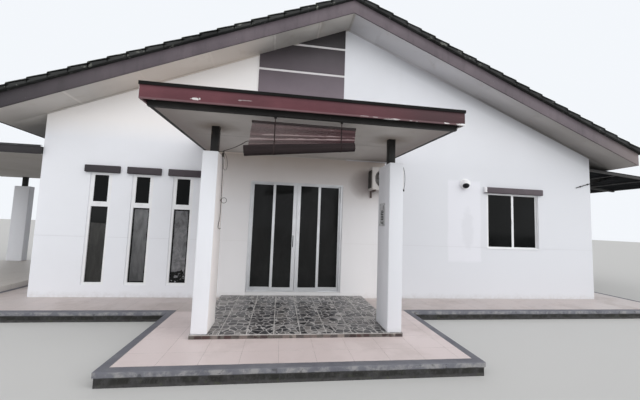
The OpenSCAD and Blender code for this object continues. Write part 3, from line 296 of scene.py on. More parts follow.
def panelPaint():
    f, look = Finish("panelPaint", roughness=0.5, specular=0.18), panelLook
    drift = f.patchy(0.8, detail=4)
    f.colour = f.blend(look["dark"], look["pale"], drift)
    # painted shade: darker towards the top, under the soffits
    sooty = f.span(f.axes()[2] + f.sway(0.3, 1.3, 3), look["paintedShadeFrom"], look["paintedShadeTo"])
    f.tint(look["sooty"], sooty * 0.95)
    f.tint(look["chalk"], f.flecks(0.70, 26) * 0.4)
    return f.done(f.grain(180, 0.0005, 0.5), (drift, 0.42, 0.58))


tileLook = {"module": 0.30, "dark": (0.042, 0.044, 0.044), "pale": (0.135, 0.140, 0.138),
            "lichen": (0.27, 0.28, 0.25), "mould": (0.02, 0.022, 0.02), "lip": (0.34, 0.36, 0.33)}


def roofTileClay(name, lichenFrom, shade, lip=0.0):
    f, look = Finish(name, roughness=0.85, specular=0.2), tileLook
    across, depth, height = f.axes()
    column = f.maths("FLOOR", (depth + 0.6) / look["module"])
    row = f.maths("FLOOR", (abs(across) - roof["topCourse"] + 0.004) / roof["gauge"])
    tone = f.patchy(1.1) * 0.55 + f.perTile(column, row, across > 0.0) * 0.45
    f.colour = f.blend(shaded(look["dark"], shade), shaded(look["pale"], shade), tone)
    f.tint(look["lichen"], f.flecks(lichenFrom, 9, 7) * f.patchy(1.7, 0.36, 0.66, 3, 0.5) * 0.8)
    f.tint(look["mould"], f.flecks(0.66, 4.2, 6, (1, 1, 0.4)) * 0.6)
    if lip:
        # painted highlight along the top edge of each verge tile, stronger on the left slope
        over = height + abs(across) * roof["slope"] - roof["apex"] + f.sway(0.01, 6, 4, 0.6)
        f.tint(look["lip"], f.span(over, 0.356, 0.362) * f.span(across, -0.5, 0.5, lip, lip * 0.3))
    return f.done(f.bump(f.noise(95, 5, 0.7), 0.0022, 0.6), (tone, 0.9, 0.74))


liningLook = {"dark": (0.52, 0.49, 0.455), "pale": (0.62, 0.595, 0.57), "warm": (0.74, 0.66, 0.60),
              "cool": (0.60, 0.59, 0.61), "farRight": (0.31, 0.29, 0.27), "corner": (0.10, 0.098, 0.096),
              "damp": (0.36, 0.29, 0.22)}


def liningBoard(name, shade, paintedLightAndShade):
    f, look = Finish(name, roughness=0.8, specular=0.2), liningLook
    across, depth = f.axes()[:2]
    drift = f.patchy(0.7, 0.32, 0.68)
    f.colour = f.blend(shaded(look["dark"], shade), shaded(look["pale"], shade), drift)
    # painted light and shade on the linings: a warm painted light on the left slope, a cool painted light on the
    # right slope, painted shade towards the right end and a painted shadow next to the front wall under the right
    # slope
    f.tint(look["warm"], f.span(across, -4.7, -3.8) * f.span(across, -2.1, -1.5, 0.8, 0.0) * paintedLightAndShade)
    f.tint(look["cool"], f.span(across, 0.02, 0.05) * paintedLightAndShade)
    f.tint(look["farRight"], f.span(across, 2.0, 4.6, 0.0, 0.85) * paintedLightAndShade)
    nearWall = f.span(depth, -0.36, 0.0) * f.span(across, 1.5, 3.5)
    f.tint(look["corner"], nearWall * 0.5 * paintedLightAndShade)
    f.tint(look["damp"], f.patchy(2.1, 0.6, 0.78, 6, 0.65, warp=0.6) * 0.32)
    return f.done(f.grain(120, 0.0005, 0.3), (drift, 0.84, 0.72))


ceilingLook = {"dark": (0.47, 0.445, 0.42), "pale": (0.585, 0.56, 0.54), "seam": (0.25, 0.235, 0.22),
               "edge": (0.285, 0.25, 0.235), "rust": (0.24, 0.19, 0.15), "damp": (0.33, 0.27, 0.21)}


def canopyLining():
    f, look = Finish("canopyLining", roughness=0.78, specular=0.2), ceilingLook
    across, depth = f.axes()[:2]
    drift = f.patchy(0.9)
    f.colour = f.blend(look["dark"], look["pale"], drift)
    seam = f.maths("PINGPONG", depth + 0.14, 0.6)
    f.tint(look["seam"], f.fade(seam, 0.004, 0.009) * 0.8)
    away = abs(across - canopy["axis"])
    f.tint(look["edge"], f.span(away, 1.1, 1.7, 0.0, 0.9))
    around, along = away - canopy["postFromAxis"], depth - canopy["postY"]
    fromPost = f.maths("SQRT", around * around + along * along) + f.sway(0.2, 6, 4)
    f.tint(look["rust"], f.fade(fromPost, 0.08, 0.34) * 0.65)
    f.tint(look["damp"], f.patchy(1.7, 0.58, 0.8, 6, 0.66, warp=0.8) * 0.4)
    return f.done(f.bump(seam, 0.004, 0.2), (drift, 0.82, 0.7))


def framePaint(name, base, worn, rough):
    f = Finish(name, roughness=rough)
    film = f.patchy(3.2, 0.3, 0.75)
    f.colour = f.blend(base, worn, film * 0.6)
    f.tint((0.20, 0.19, 0.175), f.flecks(0.69, 34) * 0.45)
    return f.done(f.grain(320, 0.0002, 0.25), (film, rough - 0.06, rough + 0.12))


def silverAluminium():
    f = Finish("silverAluminium", roughness=0.34, metallic=0.85)
    film = f.patchy(2.6, 0.35, 0.75)
    f.colour = f.blend((0.72, 0.73, 0.75), (0.50, 0.50, 0.50), film * 0.5)
    drawn = f.noise(260, 3, 0.6, stretch=(1, 1, 0.012))
    return f.done(f.bump(drawn, 0.0002, 0.25), (film, 0.30, 0.5), (film, 0.9, 0.7))


paneLook = {"tint": (0.0075, 0.008, 0.008), "shine": 0.12, "filmTop": 1.47, "brown": (0.070, 0.069, 0.066),
            "clouded": (0.235, 0.237, 0.245), "torn": (0.235, 0.235, 0.245), "chips": (0.42, 0.42, 0.44)}


# glass as an opaque dark sheet: painted shade for the unlit rooms behind it
def darkPane(name, tint, hazy, shine):
    f = Finish(name, roughness=0.06, specular=shine)
    smear = f.patchy(1.9, 0.42, 0.8, 6, 0.66, stretch=(1, 1, 0.5), warp=0.5)
    f.colour = f.blend(tint, hazy, smear * 0.5)
    return f.done(f.bump(f.noise(1.4, 2), 0.004, 0.12), (smear, 0.05, 0.22))


def dustyPane():
    # narrow windows: sheets of film behind the lower panes, whole, clouded and torn
    f, look = Finish("dustyPane", roughness=0.1, specular=paneLook["shine"]), paneLook
    across, height = f.axes()[::2]
    top = look["filmTop"] - 0.235
    one = (across < -4.2) * f.fade(height + across * 0.05, top, top + 0.01)
    two = (across > -4.2) * (across < -3.4)
    three = (across > -3.4)
    second, third = glazing["narrow"][1:]
    rim = f.maths("MINIMUM", abs(across - second), abs(across - third)) + f.sway(0.03, 9, 4, 0.6)
    aloft = height + f.sway(0.03, 9, 4, 0.6)
    inner = f.fade(rim, 0.115, 0.121) * f.fade(aloft, 1.740, 1.748) * f.span(aloft, 0.426, 0.434)
    lower = f.maths("ADD", f.fade(height, 1.775, 1.785) * (inner + one), 0.0, True)
    folds = f.noise(5.5, 5, 0.62, stretch=(1.6, 1, 0.45), warp=1.2)
    # the glass under the film is painted dark for the unlit room behind
    f.colour = f.blend(look["tint"], look["brown"], one * f.span(folds, 0.3, 0.75, 0.45, 1.0)
                       * f.span(height, 0.4, 1.5, 0.6, 1.0))
    veil = f.span(folds, 0.3, 0.7, 0.45, 0.9) * f.span(height, 0.4, 1.75, 0.42, 1.0)
    f.tint(look["clouded"], two * lower * veil)
    torn = f.span(height + f.sway(0.55, 7.5, 5, 0.66, warp=0.8), 0.58, 0.60)
    crumple = f.span(f.noise(8, 6, 0.7, stretch=(1, 1, 0.7), warp=1.2), 0.36, 0.62, 0.45, 1.0)
    f.tint(look["torn"], three * lower * torn * crumple * f.span(height, 0.6, 1.7, 1.0, 0.72))
    f.tint(look["chips"], f.flecks(0.58, 16, 5) * three * f.fade(height, 0.42, 0.66) * 0.8)
    film = f.maths("ADD", one + two + three, 0.0, True) * lower
    return f.done(f.bump(folds, 0.006, 0.1), (film * 0.6 + folds * 0.2, 0.06, 0.5))


def plainPaint(name, dark, pale, rough, chips=None, coarse=1.0, metallic=0.0, specular=0.18):
    f = Finish(name, roughness=rough, metallic=metallic, specular=specular)
    drift = f.patchy(1.8 * coarse)
    f.colour = f.blend(dark, pale, drift)
    if chips:
        f.tint(chips, f.flecks(0.665, 22 * coarse) * 0.85)
    return f.done(f.grain(200, 0.0004, 0.35), (drift, rough - 0.07, rough + 0.1))


# a chip: x, z, half its width, half its height, strength
fasciaLook = {"red": (0.110, 0.040, 0.049), "light": (0.165, 0.063, 0.075), "brown": (0.050, 0.029, 0.032),
              "scraped": (0.21, 0.11, 0.12), "rubbed": (0.235, 0.155, 0.165), "bare": (0.78, 0.76, 0.75),
              "dusk": (0.030, 0.022, 0.023),
              "chips": [(-2.245, 2.905, 0.045, 0.012, 0.9), (-2.19, 2.912, 0.012, 0.012, 0.8),
                        (-1.70, 2.935, 0.075, 0.005, 0.3), (-1.76, 2.932, 0.02, 0.008, 0.35),
                        (-0.33, 2.874, 0.06, 0.005, 0.35), (-0.19, 2.872, 0.03, 0.004, 0.45),
                        (0.05, 2.868, 0.075, 0.0045, 0.8), (0.25, 2.866, 0.02, 0.006, 0.5),
                        (0.33, 2.862, 0.012, 0.004, 0.4), (0.72, 2.872, 0.034, 0.009, 0.95),
                        (0.905, 2.868, 0.055, 0.010, 1.0)]}


def redFasciaPaint():
    f, look = Finish("redFasciaPaint", roughness=0.5, specular=0.12), fasciaLook
    across, depth, height = f.axes()
    drift = f.patchy(1.4, rough=0.62, stretch=(1, 1, 2.2))
    f.colour = f.blend(look["red"], look["light"], drift)
    f.tint(look["brown"], f.patchy(0.8, 0.45, 0.75, 4) * 0.6)
    f.tint(look["brown"], f.span(across, -1.0, 0.7, 0.0, 0.8))
    f.tint(look["scraped"], f.patchy(9, 0.63, 0.7, 6, 0.66, stretch=(0.25, 1, 2.5)) * 0.35)
    level, foot = height - (depth + 2.58) * canopy["fall"], canopy["fasciaZ"]
    ragged = f.sway(3.2, 26, 6, 0.68, stretch=(0.6, 1, 1.6))
    bare = f.span(f.noise(3.4, 6, 0.64, stretch=(0.8, 1, 1.2)) * 0.05 - (level - foot), 0.030, 0.034)
    for x, z, wide, tall, strong in look["chips"]:
        away = f.maths("SQRT", oval(across, level, x, z, wide, tall)) + ragged
        bare = f.maths("MAXIMUM", bare, f.span(away, 0.9, 1.0, strong, 0))
    rubbed = level + f.sway(0.012, 12, 5, 0.6, stretch=(0.3, 1, 1))
    f.tint(look["rubbed"], f.span(rubbed, foot + 0.014, foot + 0.022, 0.5, 0.0))
    f.tint(look["bare"], bare * 0.95)
    # painted shadow along the top of the fascia, under the black edge strip
    f.tint(look["dusk"], f.span(level, foot + 0.12, foot + 0.165) * 0.5)
    return f.done(f.bump(f.noise(60, 5, 0.6, stretch=(0.1, 1, 1)), 0.0008, 0.4), (drift, 0.42, 0.6))


def ribbedSheet(name, pale, dark, rust=0.4, metallic=0.35):
    f = Finish(name, roughness=0.5, metallic=metallic, specular=0.5 * metallic)
    f.colour = f.blend(dark, pale, f.patchy(0.9, rough=0.62))
    grime = f.patchy(3.0, 0.5, 0.75, 6, 0.66, stretch=(1, 0.2, 1))
    f.tint(shaded(dark, 0.5), grime * 0.45)
    f.tint((0.20, 0.085, 0.04), f.flecks(0.67, 14, 7) * rust)
    return f.done(f.grain(150, 0.0003, 0.3), (grime, 0.78 - metallic, 0.9 - 0.6 * metallic))


def slatWood(name, dark, pale, bleached):
    f = Finish(name, roughness=0.6, specular=0.1)
    own = f.add("Attribute", {"attribute_name": "tone"}, out=2)
    drift = f.patchy(2.4, rough=0.62, stretch=(0.5, 1, 6))
    f.colour = f.blend(dark, pale, f.span(drift * 0.5 + own, 0.1, 1.1))
    washed = own * 1.25 + f.noise(4.5, 5, 0.64, stretch=(1.1, 1, 3)) * 0.9
    f.tint(bleached, f.span(washed, 1.30, 1.42) * 0.85)
    return f.done(f.bump(f.noise(90, 4, 0.6, stretch=(0.06, 1, 1)), 0.0006, 0.5), (drift, 0.5, 0.7))


def twistedFibre(name, dark, pale):
    f = Finish(name, roughness=0.9)
    lay = f.add("TexWave", {"wave_type": "BANDS", "bands_direction": "DIAGONAL"},
                {"Vector": f.place((60, 60, 60)), "Scale": 1.0, "Distortion": 1.5, "Detail": 2.0})
    f.colour = f.blend(dark, pale, lay)
    f.tint(dark, f.patchy(14, 0.35, 0.7, 4, 0.5) * 0.4)
    return f.done(f.bump(lay, 0.0008, 0.7))


floorLook = {"tile": 0.40, "terrace": (0.77, 0.665, 0.655), "warm": (0.545, 0.470, 0.448),
             "cool": (0.475, 0.420, 0.405), "grout": (0.55, 0.485, 0.465), "soil": (0.28, 0.25, 0.22),
             "specks": (0.20, 0.18, 0.15)}


def beigeTile():
    f, look = Finish("beigeTile", roughness=0.42), floorLook
    across, depth = f.axes()[:2]
    column, row = (f.maths("FLOOR", axis / look["tile"]) for axis in (across, depth))
    tone = f.patchy(7, rough=0.65) * 0.6 + f.perTile(column, row) * 0.4
    f.colour = f.blend(look["cool"], look["warm"], tone)
    # painted sky reflection: the tiles in front of the apron are brighter
    f.tint(look["terrace"], f.span(depth, -0.92, -0.85, 0.8, 0.0))
    soil = f.patchy(1.5, 0.5, 0.78, 6, 0.64)
    f.tint(look["soil"], soil * 0.3)
    f.tint(look["specks"], f.flecks(0.70, 55, 4) * 0.4)
    return f.done(f.bump(f.noise(30, 3), 0.0004, 0.3), (soil, 0.34, 0.7))


def groutLine(name, tint):
    f = Finish(name, roughness=0.9)
    f.colour = f.blend(tint, shaded(tint, 0.45), f.patchy(8, 0.35, 0.7, rough=0.65))
    return f.done(f.grain(260, 0.0006, 0.6))


stoneLook = {"scale": 9.0, "mortar": (0.50, 0.485, 0.475), "soil": (0.24, 0.21, 0.19), "edgeScale": 11.5,
             "edgeMortar": (0.10, 0.09, 0.08),
             "stones": [(0.0, (0.012, 0.012, 0.014)), (0.40, (0.032, 0.031, 0.034)),
                        (0.62, (0.060, 0.057, 0.060)), (0.80, (0.15, 0.14, 0.135)), (1.0, (0.36, 0.34, 0.33))],
             "edgeStones": [(0.0, (0.014, 0.011, 0.011)), (0.35, (0.060, 0.030, 0.027)),
                            (0.6, (0.024, 0.023, 0.025)), (0.8, (0.15, 0.12, 0.11)), (1.0, (0.26, 0.23, 0.21))]}


def pebbleTile():
    f, look = Finish("pebbleTile", roughness=0.4, specular=0.3), stoneLook
    wide = (1.25, 1, 1)
    joint = f.cells(look["scale"], "DISTANCE_TO_EDGE", wide) + f.sway(0.05, 40, 4)
    stone = f.add("SeparateColor", {}, {0: f.cells(look["scale"], stretch=wide, out=1)})
    pebble = f.ramp(stone * 0.85 + f.noise(45, 5, 0.7) * 0.15, look["stones"])
    f.colour = f.blend(look["mortar"], pebble, f.span(joint, 0.030, 0.055))
    f.tint(look["soil"], f.patchy(2.2, 0.52, 0.78, 6, 0.65) * 0.25)
    return f.done(f.bump(f.span(joint, 0.0, 0.12), 0.0012, 0.5), f.span(joint, 0, 0.1, 0.6, 0.3))


def edgeTile():
    f, look = Finish("edgeTile", roughness=0.4), stoneLook
    own = f.add("SeparateColor", {}, {0: f.cells(look["edgeScale"], spread=0.3, out=1)})
    joint = f.cells(look["edgeScale"], "DISTANCE_TO_EDGE", spread=0.3)
    f.colour = f.blend(look["edgeMortar"], f.ramp(own, look["edgeStones"]), f.span(joint, 0.02, 0.07))
    return f.done(f.bump(f.span(joint, 0, 0.1), 0.001, 0.5))


plinthLook = {"paint": (0.125, 0.127, 0.150), "worn": (0.34, 0.345, 0.37), "bare": (0.36, 0.355, 0.345),
              "riser": (0.040, 0.038, 0.036), "mould": (0.020, 0.020, 0.018), "moss": (0.075, 0.085, 0.05),
              "pits": (0.06, 0.06, 0.062), "grime": (0.03, 0.03, 0.028)}


def plinthPaint():
    f, look = Finish("plinthPaint", roughness=0.75, specular=0.25), plinthLook
    height = f.axes()[2]
    drift = f.patchy(1.6, 0.34, 0.68, 6, 0.64)
    f.colour = f.blend(look["paint"], look["worn"], drift * 0.35)
    face = f.fade(height, 0.140, 0.149)
    f.tint(look["bare"], f.patchy(6.5, 0.46, 0.60, 7, 0.72, warp=0.3) * (face * 0.55 + 0.10))
    f.tint(look["pits"], f.flecks(0.60, 11, 7) * face * 0.6)
    edge = height + f.sway(0.035, 4.0, 6, 0.68)
    riser = f.fade(edge, 0.088, 0.100)
    f.tint(look["riser"], riser * 0.85)
    band = f.span(edge, 0.018, 0.040) * f.fade(edge, 0.075, 0.095)
    mould = band * f.patchy(6.5, 0.40, 0.54, 7, 0.74, stretch=(1, 1, 0.6))
    f.tint(look["mould"], mould * 0.95)
    f.tint(look["grime"], f.patchy(15, 0.50, 0.62, 7, 0.74) * riser * 0.6)
    f.tint(look["moss"], f.flecks(0.60, 16, 5) * f.span(height, 0.0, 0.09, 0.6, 0))
    return f.done(f.bump(f.noise(38, 6, 0.7), 0.003, 0.5), (drift, 0.7, 0.86))


def concreteFloor():
    f = Finish("concreteFloor", roughness=0.6)
    across, depth, height = f.axes()
    drift = f.patchy(1.2, detail=6, rough=0.62)
    f.colour = f.blend((0.44, 0.41, 0.38), (0.56, 0.53, 0.50), drift)
    seams = [f.maths("PINGPONG", axis, 0.3) < 0.002 for axis in (across, depth)]
    f.tint((0.25, 0.23, 0.21), f.maths("MAXIMUM", *seams))
    sill = (depth < 0.012) * (height > 0.16) * (across > -2.5)
    f.tint((0.70, 0.70, 0.71), sill * 0.9)
    return f.done(f.grain(40), (drift, 0.4, 0.62))


def coilMetal():
    f = Finish("coilMetal", roughness=0.55, metallic=0.4)
    fin = f.maths("PINGPONG", f.axes()[1], 0.004) * 250.0
    f.colour = f.blend((0.015, 0.015, 0.015), (0.10, 0.10, 0.10), fin)
    f.tint((0.12, 0.09, 0.06), f.patchy(9, 0.5, 0.8, rough=0.5) * 0.4)
    return f.done(f.bump(fin, 0.001, 0.6))


# mesh helpers

# merge: points nearer than this are one; the rest are angles: faces that count as flat, edges that are rounded
# and edges that are drawn as a crease
meshing = {"merge": 0.00002, "flat": 0.008, "rounded": 0.5, "creased": 0.6}


def addObject(name, data):
    made = bpy.data.objects.new(name, data)
    bpy.context.scene.collection.objects.link(made)
    return made


def block(bm, low, high, turn=None):
    low, high = Vector(low), Vector(high)
    made = bmesh.ops.create_cube(bm, size=1.0)["verts"]
    bmesh.ops.scale(bm, vec=high - low, verts=made)
    bmesh.ops.translate(bm, vec=(low + high) / 2, verts=made)
    if turn:
        bmesh.ops.transform(bm, matrix=turn, verts=made)
    return made


def rod(bm, start, end, radius, sides=8, tip=None):
    start, end = Vector(start), Vector(end)
    run = end - start
    turn = run.to_track_quat("Z", "Y").to_matrix().to_4x4()
    return bmesh.ops.create_cone(bm, cap_ends=True, segments=sides, radius1=radius, depth=run.length,
                                 radius2=radius if tip is None else tip,
                                 matrix=Matrix.Translation((start + end) / 2) @ turn)["verts"]


def softenEdges(bm, width, segments=2):
    sharp = [e for e in bm.edges if len(e.link_faces) == 2 and e.calc_face_angle(0.0) > meshing["rounded"]]
    bmesh.ops.bevel(bm, geom=sharp, offset=width, offset_type="OFFSET", segments=segments, profile=0.5,
                    affect="EDGES", clamp_overlap=True, material=-1)


def placePiece(bm, name, *finishes, body="house", slot=None, instead=(), outward=True):
    if outward:
        bmesh.ops.recalc_face_normals(bm, faces=bm.faces)
    for face in bm.faces:
        face.smooth = True
    for edge in bm.edges:
        edge.smooth = len(edge.link_faces) == 2 and edge.calc_face_angle(0.0) < meshing["creased"]
    mesh = bpy.data.meshes.new(name)
    bm.to_mesh(mesh)
    bm.free()
    piece = addObject(name, mesh)
    for finish in finishes:
        mesh.materials.append(finish)
    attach(piece, body)
    if instead:
        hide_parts(*instead)
    return piece


def solidOf(node):
    bm = bmesh.new()
    bm.from_mesh(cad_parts[node].data)
    bmesh.ops.remove_doubles(bm, verts=bm.verts, dist=meshing["merge"])
    return bm


def dressed(node, finish, width=0.003, segments=2, body="house", name=None):
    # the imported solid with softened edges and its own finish, named like its node
    bm = solidOf(node)
    bmesh.ops.dissolve_limit(bm, angle_limit=meshing["flat"], verts=bm.verts, edges=bm.edges)
    if width:
        softenEdges(bm, width, segments)
    first, *rest = node.split("_")
    name = name or first + "".join(word.title() for word in rest)
    return placePiece(bm, name, finish, body=body, instead=(node,), outward=False)


def blocks(name, finish, slot, sizes, soft=0.0, segments=2, **more):
    # a small piece made of plain blocks, each given by two corners
    bm = bmesh.new()
    for low, high in sizes:
        block(bm, low, high)
    if soft:
        softenEdges(bm, soft, segments)
    return placePiece(bm, name, finish, slot=slot, **more)


def newVerts(made):
    return [v for v in made["geom"] if isinstance(v, bmesh.types.BMVert)]


def rimOf(bm):
    return [e for e in bm.edges if e.is_boundary]


# shared sizes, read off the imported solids

leftSlope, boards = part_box("roof_left"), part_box("barge_boards")
roof = {"slope": math.tan(math.radians(22.5)), "apex": 5.715, "boardHeight": 0.26, "boardThick": 0.025,
        "topCourse": 0.186, "gauge": 0.318 * math.cos(math.radians(22.5)), "thin": 0.078, "step": 0.032,
        "over": 0.06, "deckFrom": 0.15, "deckOver": 0.03, "front": leftSlope[0].y, "back": leftSlope[1].y,
        "left": -leftSlope[0].x, "right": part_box("roof_right")[1].x}
roof["soffitFront"], roof["soffitBack"] = boards[0].y + roof["boardThick"], boards[1].y - roof["boardThick"]
wall = {"left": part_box("front_gable")[0].x, "right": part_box("front_gable")[1].x,
        "back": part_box("back_wall")[1].y}
canopy = {"axis": -0.93, "postFromAxis": 1.2375, "postY": -1.794, "fasciaZ": 2.862, "rise": 0.109,
          "fall": 0.109 / 2.58, "ceiling": 2.817, "sheet": 3.027, "rib": 0.024, "ribPitch": 0.19, "ribs": 19,
          "screwRows": 5, "firstRow": -2.45, "rowPitch": 0.58}


def slopeFrame(side):
    # local x = level distance from the ridge line, local z = height over the soffit plane
    return Matrix(((side, 0, 0, 0), (0, 1, 0, 0), (-roof["slope"], 0, 1, roof["apex"]), (0, 0, 0, 1)))


plaster = whitePlaster()
mauve = mauvePaint("bargePaint", 0.94, 0.97, -3.1)
clay = roofTileClay("roofTileClay", 0.585, 1.0)
lining = liningBoard("liningBoard", 0.91, 1.0)
whiteFrame = framePaint("whiteFrame", (0.83, 0.84, 0.86), (0.72, 0.72, 0.73), 0.4)
silver = silverAluminium()
black = plainPaint("blackSteel", (0.014, 0.014, 0.014), (0.030, 0.029, 0.028), 0.42, (0.10, 0.07, 0.05))
seal = plainPaint("rubberSeal", (0.012, 0.012, 0.012), (0.03, 0.03, 0.03), 0.7)
blackPlastic = plainPaint("blackPlastic", (0.007, 0.007, 0.007), (0.018, 0.018, 0.018), 0.5, specular=0.06)
print("finishes ready")


# plinth and floors

plinth = {"groutWidth": 0.003, "groutDeep": 0.0012, "edgeRound": 0.006, "edgeWidth": 0.1, "apronFront": -0.9,
          "terraceHalf": 1.975, "tileThick": 0.01, "stoneTile": 0.335, "stoneThick": 0.008, "stoneGrout": 0.013,
          "stoneStart": -0.02, "stoneJoint": (0.62, 0.60, 0.58)}


def tiledField(name, outline, top, thick, module, offset, finishes, groutWidth, instead=()):
    # cut the outline on a grid, then sink a joint round every tile
    bm = bmesh.new()
    face = bm.faces.new([bm.verts.new((x, y, top)) for x, y in outline])
    face.normal_update()
    if face.normal.z < 0:
        face.normal_flip()
    for axis in (0, 1):
        low, high = (pick(p[axis] for p in outline) for pick in (min, max))
        cut = (math.floor((low - offset[axis]) / module) + 1) * module + offset[axis]
        while cut < high - 0.001:
            spot, way = [0, 0, top], [0, 0, 0]
            spot[axis], way[axis] = cut, 1
            whole = bm.verts[:] + bm.edges[:] + bm.faces[:]
            bmesh.ops.bisect_plane(bm, geom=whole, plane_co=spot, plane_no=way, dist=0.0001)
            cut += module
    made = bmesh.ops.inset_individual(bm, faces=bm.faces[:], thickness=groutWidth / 2, use_even_offset=True)
    for rim in made["faces"]:
        rim.material_index = 1
    sunk = [v for v in bm.verts if all(f.material_index for f in v.link_faces)]
    bmesh.ops.translate(bm, vec=(0, 0, -plinth["groutDeep"]), verts=sunk)
    for vert in newVerts(bmesh.ops.extrude_edge_only(bm, edges=rimOf(bm))):
        vert.co.z = top - thick
    bmesh.ops.contextual_create(bm, geom=rimOf(bm), mat_nr=1)
    return placePiece(bm, name, *finishes, instead=instead)


def buildFloors():
    concrete = concreteFloor()
    dressed("raft", plinthPaint(), plinth["edgeRound"], 3, name="plinth")
    dressed("porch_slab", concrete, plinth["edgeRound"], 3)
    dressed("floor_slab", concrete, name="insideFloor")
    # tiles stop at the plain edges of the apron and of the step before the door
    low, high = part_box("floor_tiles")
    edge = plinth["edgeWidth"]
    front = plinth["apronFront"] + edge
    stepLeft, stepRight = (canopy["axis"] + side * (plinth["terraceHalf"] - edge) for side in (-1, 1))
    outline = [(low.x, front), (stepLeft, front), (stepLeft, low.y), (stepRight, low.y),
               (stepRight, front), (high.x, front), (high.x, high.y), (wall["right"], high.y),
               (wall["right"], 0), (wall["left"], 0), (wall["left"], high.y), (low.x, high.y)]
    behind = [(wall["left"], wall["back"]), (wall["right"], wall["back"]), (wall["right"], high.y),
              (wall["left"], high.y)]
    beige = beigeTile(), groutLine("beigeGrout", floorLook["grout"])
    for name, field, instead in (("floorTiles", outline, ("floor_tiles",)), ("backTiles", behind, ())):
        tiledField(name, field, high.z, plinth["tileThick"], floorLook["tile"], (0, 0), beige,
                   plinth["groutWidth"], instead)
    a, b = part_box("platform")
    ground, thick = [(a.x, a.y), (b.x, a.y), (b.x, b.y), (a.x, b.y)], plinth["stoneThick"]
    pebbles = pebbleTile(), groutLine("paleGrout", plinth["stoneJoint"])
    tiledField("platformTiles", ground, b.z, thick, plinth["stoneTile"], (canopy["axis"], plinth["stoneStart"]),
               pebbles, plinth["stoneGrout"])
    blocks("platformEdge", edgeTile(), None, [(a, (b.x, b.y, b.z - thick))], instead=("platform",))
    print("floors laid")


# walls

def buildWalls():
    for node in ("front_wall_left", "front_wall_right", "front_gable", "back_wall", "left_wall", "right_wall"):
        dressed(node, plaster, 0.0)
    for node in ("canopy_columns", "porch_columns"):
        dressed(node, plaster, 0.009, 3)
    print("walls plastered")


# roof

tiling = {"module": 0.30, "roll": 0.085, "rollHigh": 0.014, "thick": 0.020, "lap": 0.055}
verge = {"wide": 0.10, "least": 0.02, "lap": 0.03, "foot": 0.004, "over": 0.002, "topsFrom": 0.046,
         "slant": 0.028, "uneven": 0.007, "edge": 0.007}
soffit = {"left": (0.65, 1.51, 2.66, 3.82, 4.97), "right": (0.57, 1.73, 2.88, 4.04, 5.19), "gap": 0.0015,
          "board": 0.012, "battenHalf": 0.019, "battenHigh": 0.004, "beadWide": 0.018, "beadHigh": 0.022,
          "eaveBoard": 1.2}


def repeated(piece, name, step, count):
    array = piece.modifiers.new(name, "ARRAY")
    array.use_relative_offset, array.use_constant_offset = False, True
    array.constant_offset_displace, array.count = step, count


def tileRow(name, side, start, end, rows=1):
    # one tile, bent across its width, repeated along the ridge and down the slope
    bm = bmesh.new()
    bmesh.ops.create_grid(bm, x_segments=1, y_segments=9, size=0.5)
    under = roof["boardHeight"] + roof["thin"]
    for vert in bm.verts:
        along, across = vert.co.x + 0.5, vert.co.y + 0.5
        level = start + (end - start) * along - (0.0 if along > 0.5 else min(tiling["lap"], start))
        swell = max(0.0, 1 - ((across - 0.5) * tiling["module"] / (tiling["roll"] / 2)) ** 2)
        rise = under + roof["step"] * (1 - (end - level) / roof["gauge"]) - tiling["rollHigh"] * (1 - swell)
        vert.co = Vector((level, roof["front"] + across * tiling["module"], rise))
    bmesh.ops.solidify(bm, geom=bm.faces[:], thickness=tiling["thick"])
    top = max(v.co.z for v in bm.verts) - (under + roof["step"])
    bmesh.ops.translate(bm, vec=(0, 0, -top), verts=bm.verts)
    bmesh.ops.transform(bm, matrix=slopeFrame(side), verts=bm.verts)
    piece = placePiece(bm, name, clay)
    count = round((roof["back"] - roof["front"]) / tiling["module"])
    repeated(piece, "alongRidge", (0, tiling["module"], 0), count)
    if rows > 1:
        repeated(piece, "downSlope", (side * roof["gauge"], 0, -roof["slope"] * roof["gauge"]), rows)


def vergeTiles(name, side, courses, finish):
    # capped tiles that fold over both gable edges, one to a course
    bm = bmesh.new()
    foot = roof["boardHeight"] + verge["foot"]
    top = foot + roof["thin"] + roof["step"] + verge["over"]
    for start, end in zip(courses, courses[1:]):
        if end - start < verge["least"]:
            continue
        for near in (roof["front"], roof["back"] - verge["wide"]):
            sunk = dice.uniform(0.0, verge["uneven"])
            cap = block(bm, (max(start - verge["lap"], 0.0), near, foot), (end, near + verge["wide"], top))
            for vert in cap:
                if vert.co.z > foot + verge["topsFrom"]:
                    vert.co.z -= sunk + (verge["slant"] if vert.co.x < end - 0.001 else 0.0)
    softenEdges(bm, verge["edge"])
    bmesh.ops.transform(bm, matrix=slopeFrame(side), verts=bm.verts)
    placePiece(bm, name, finish)


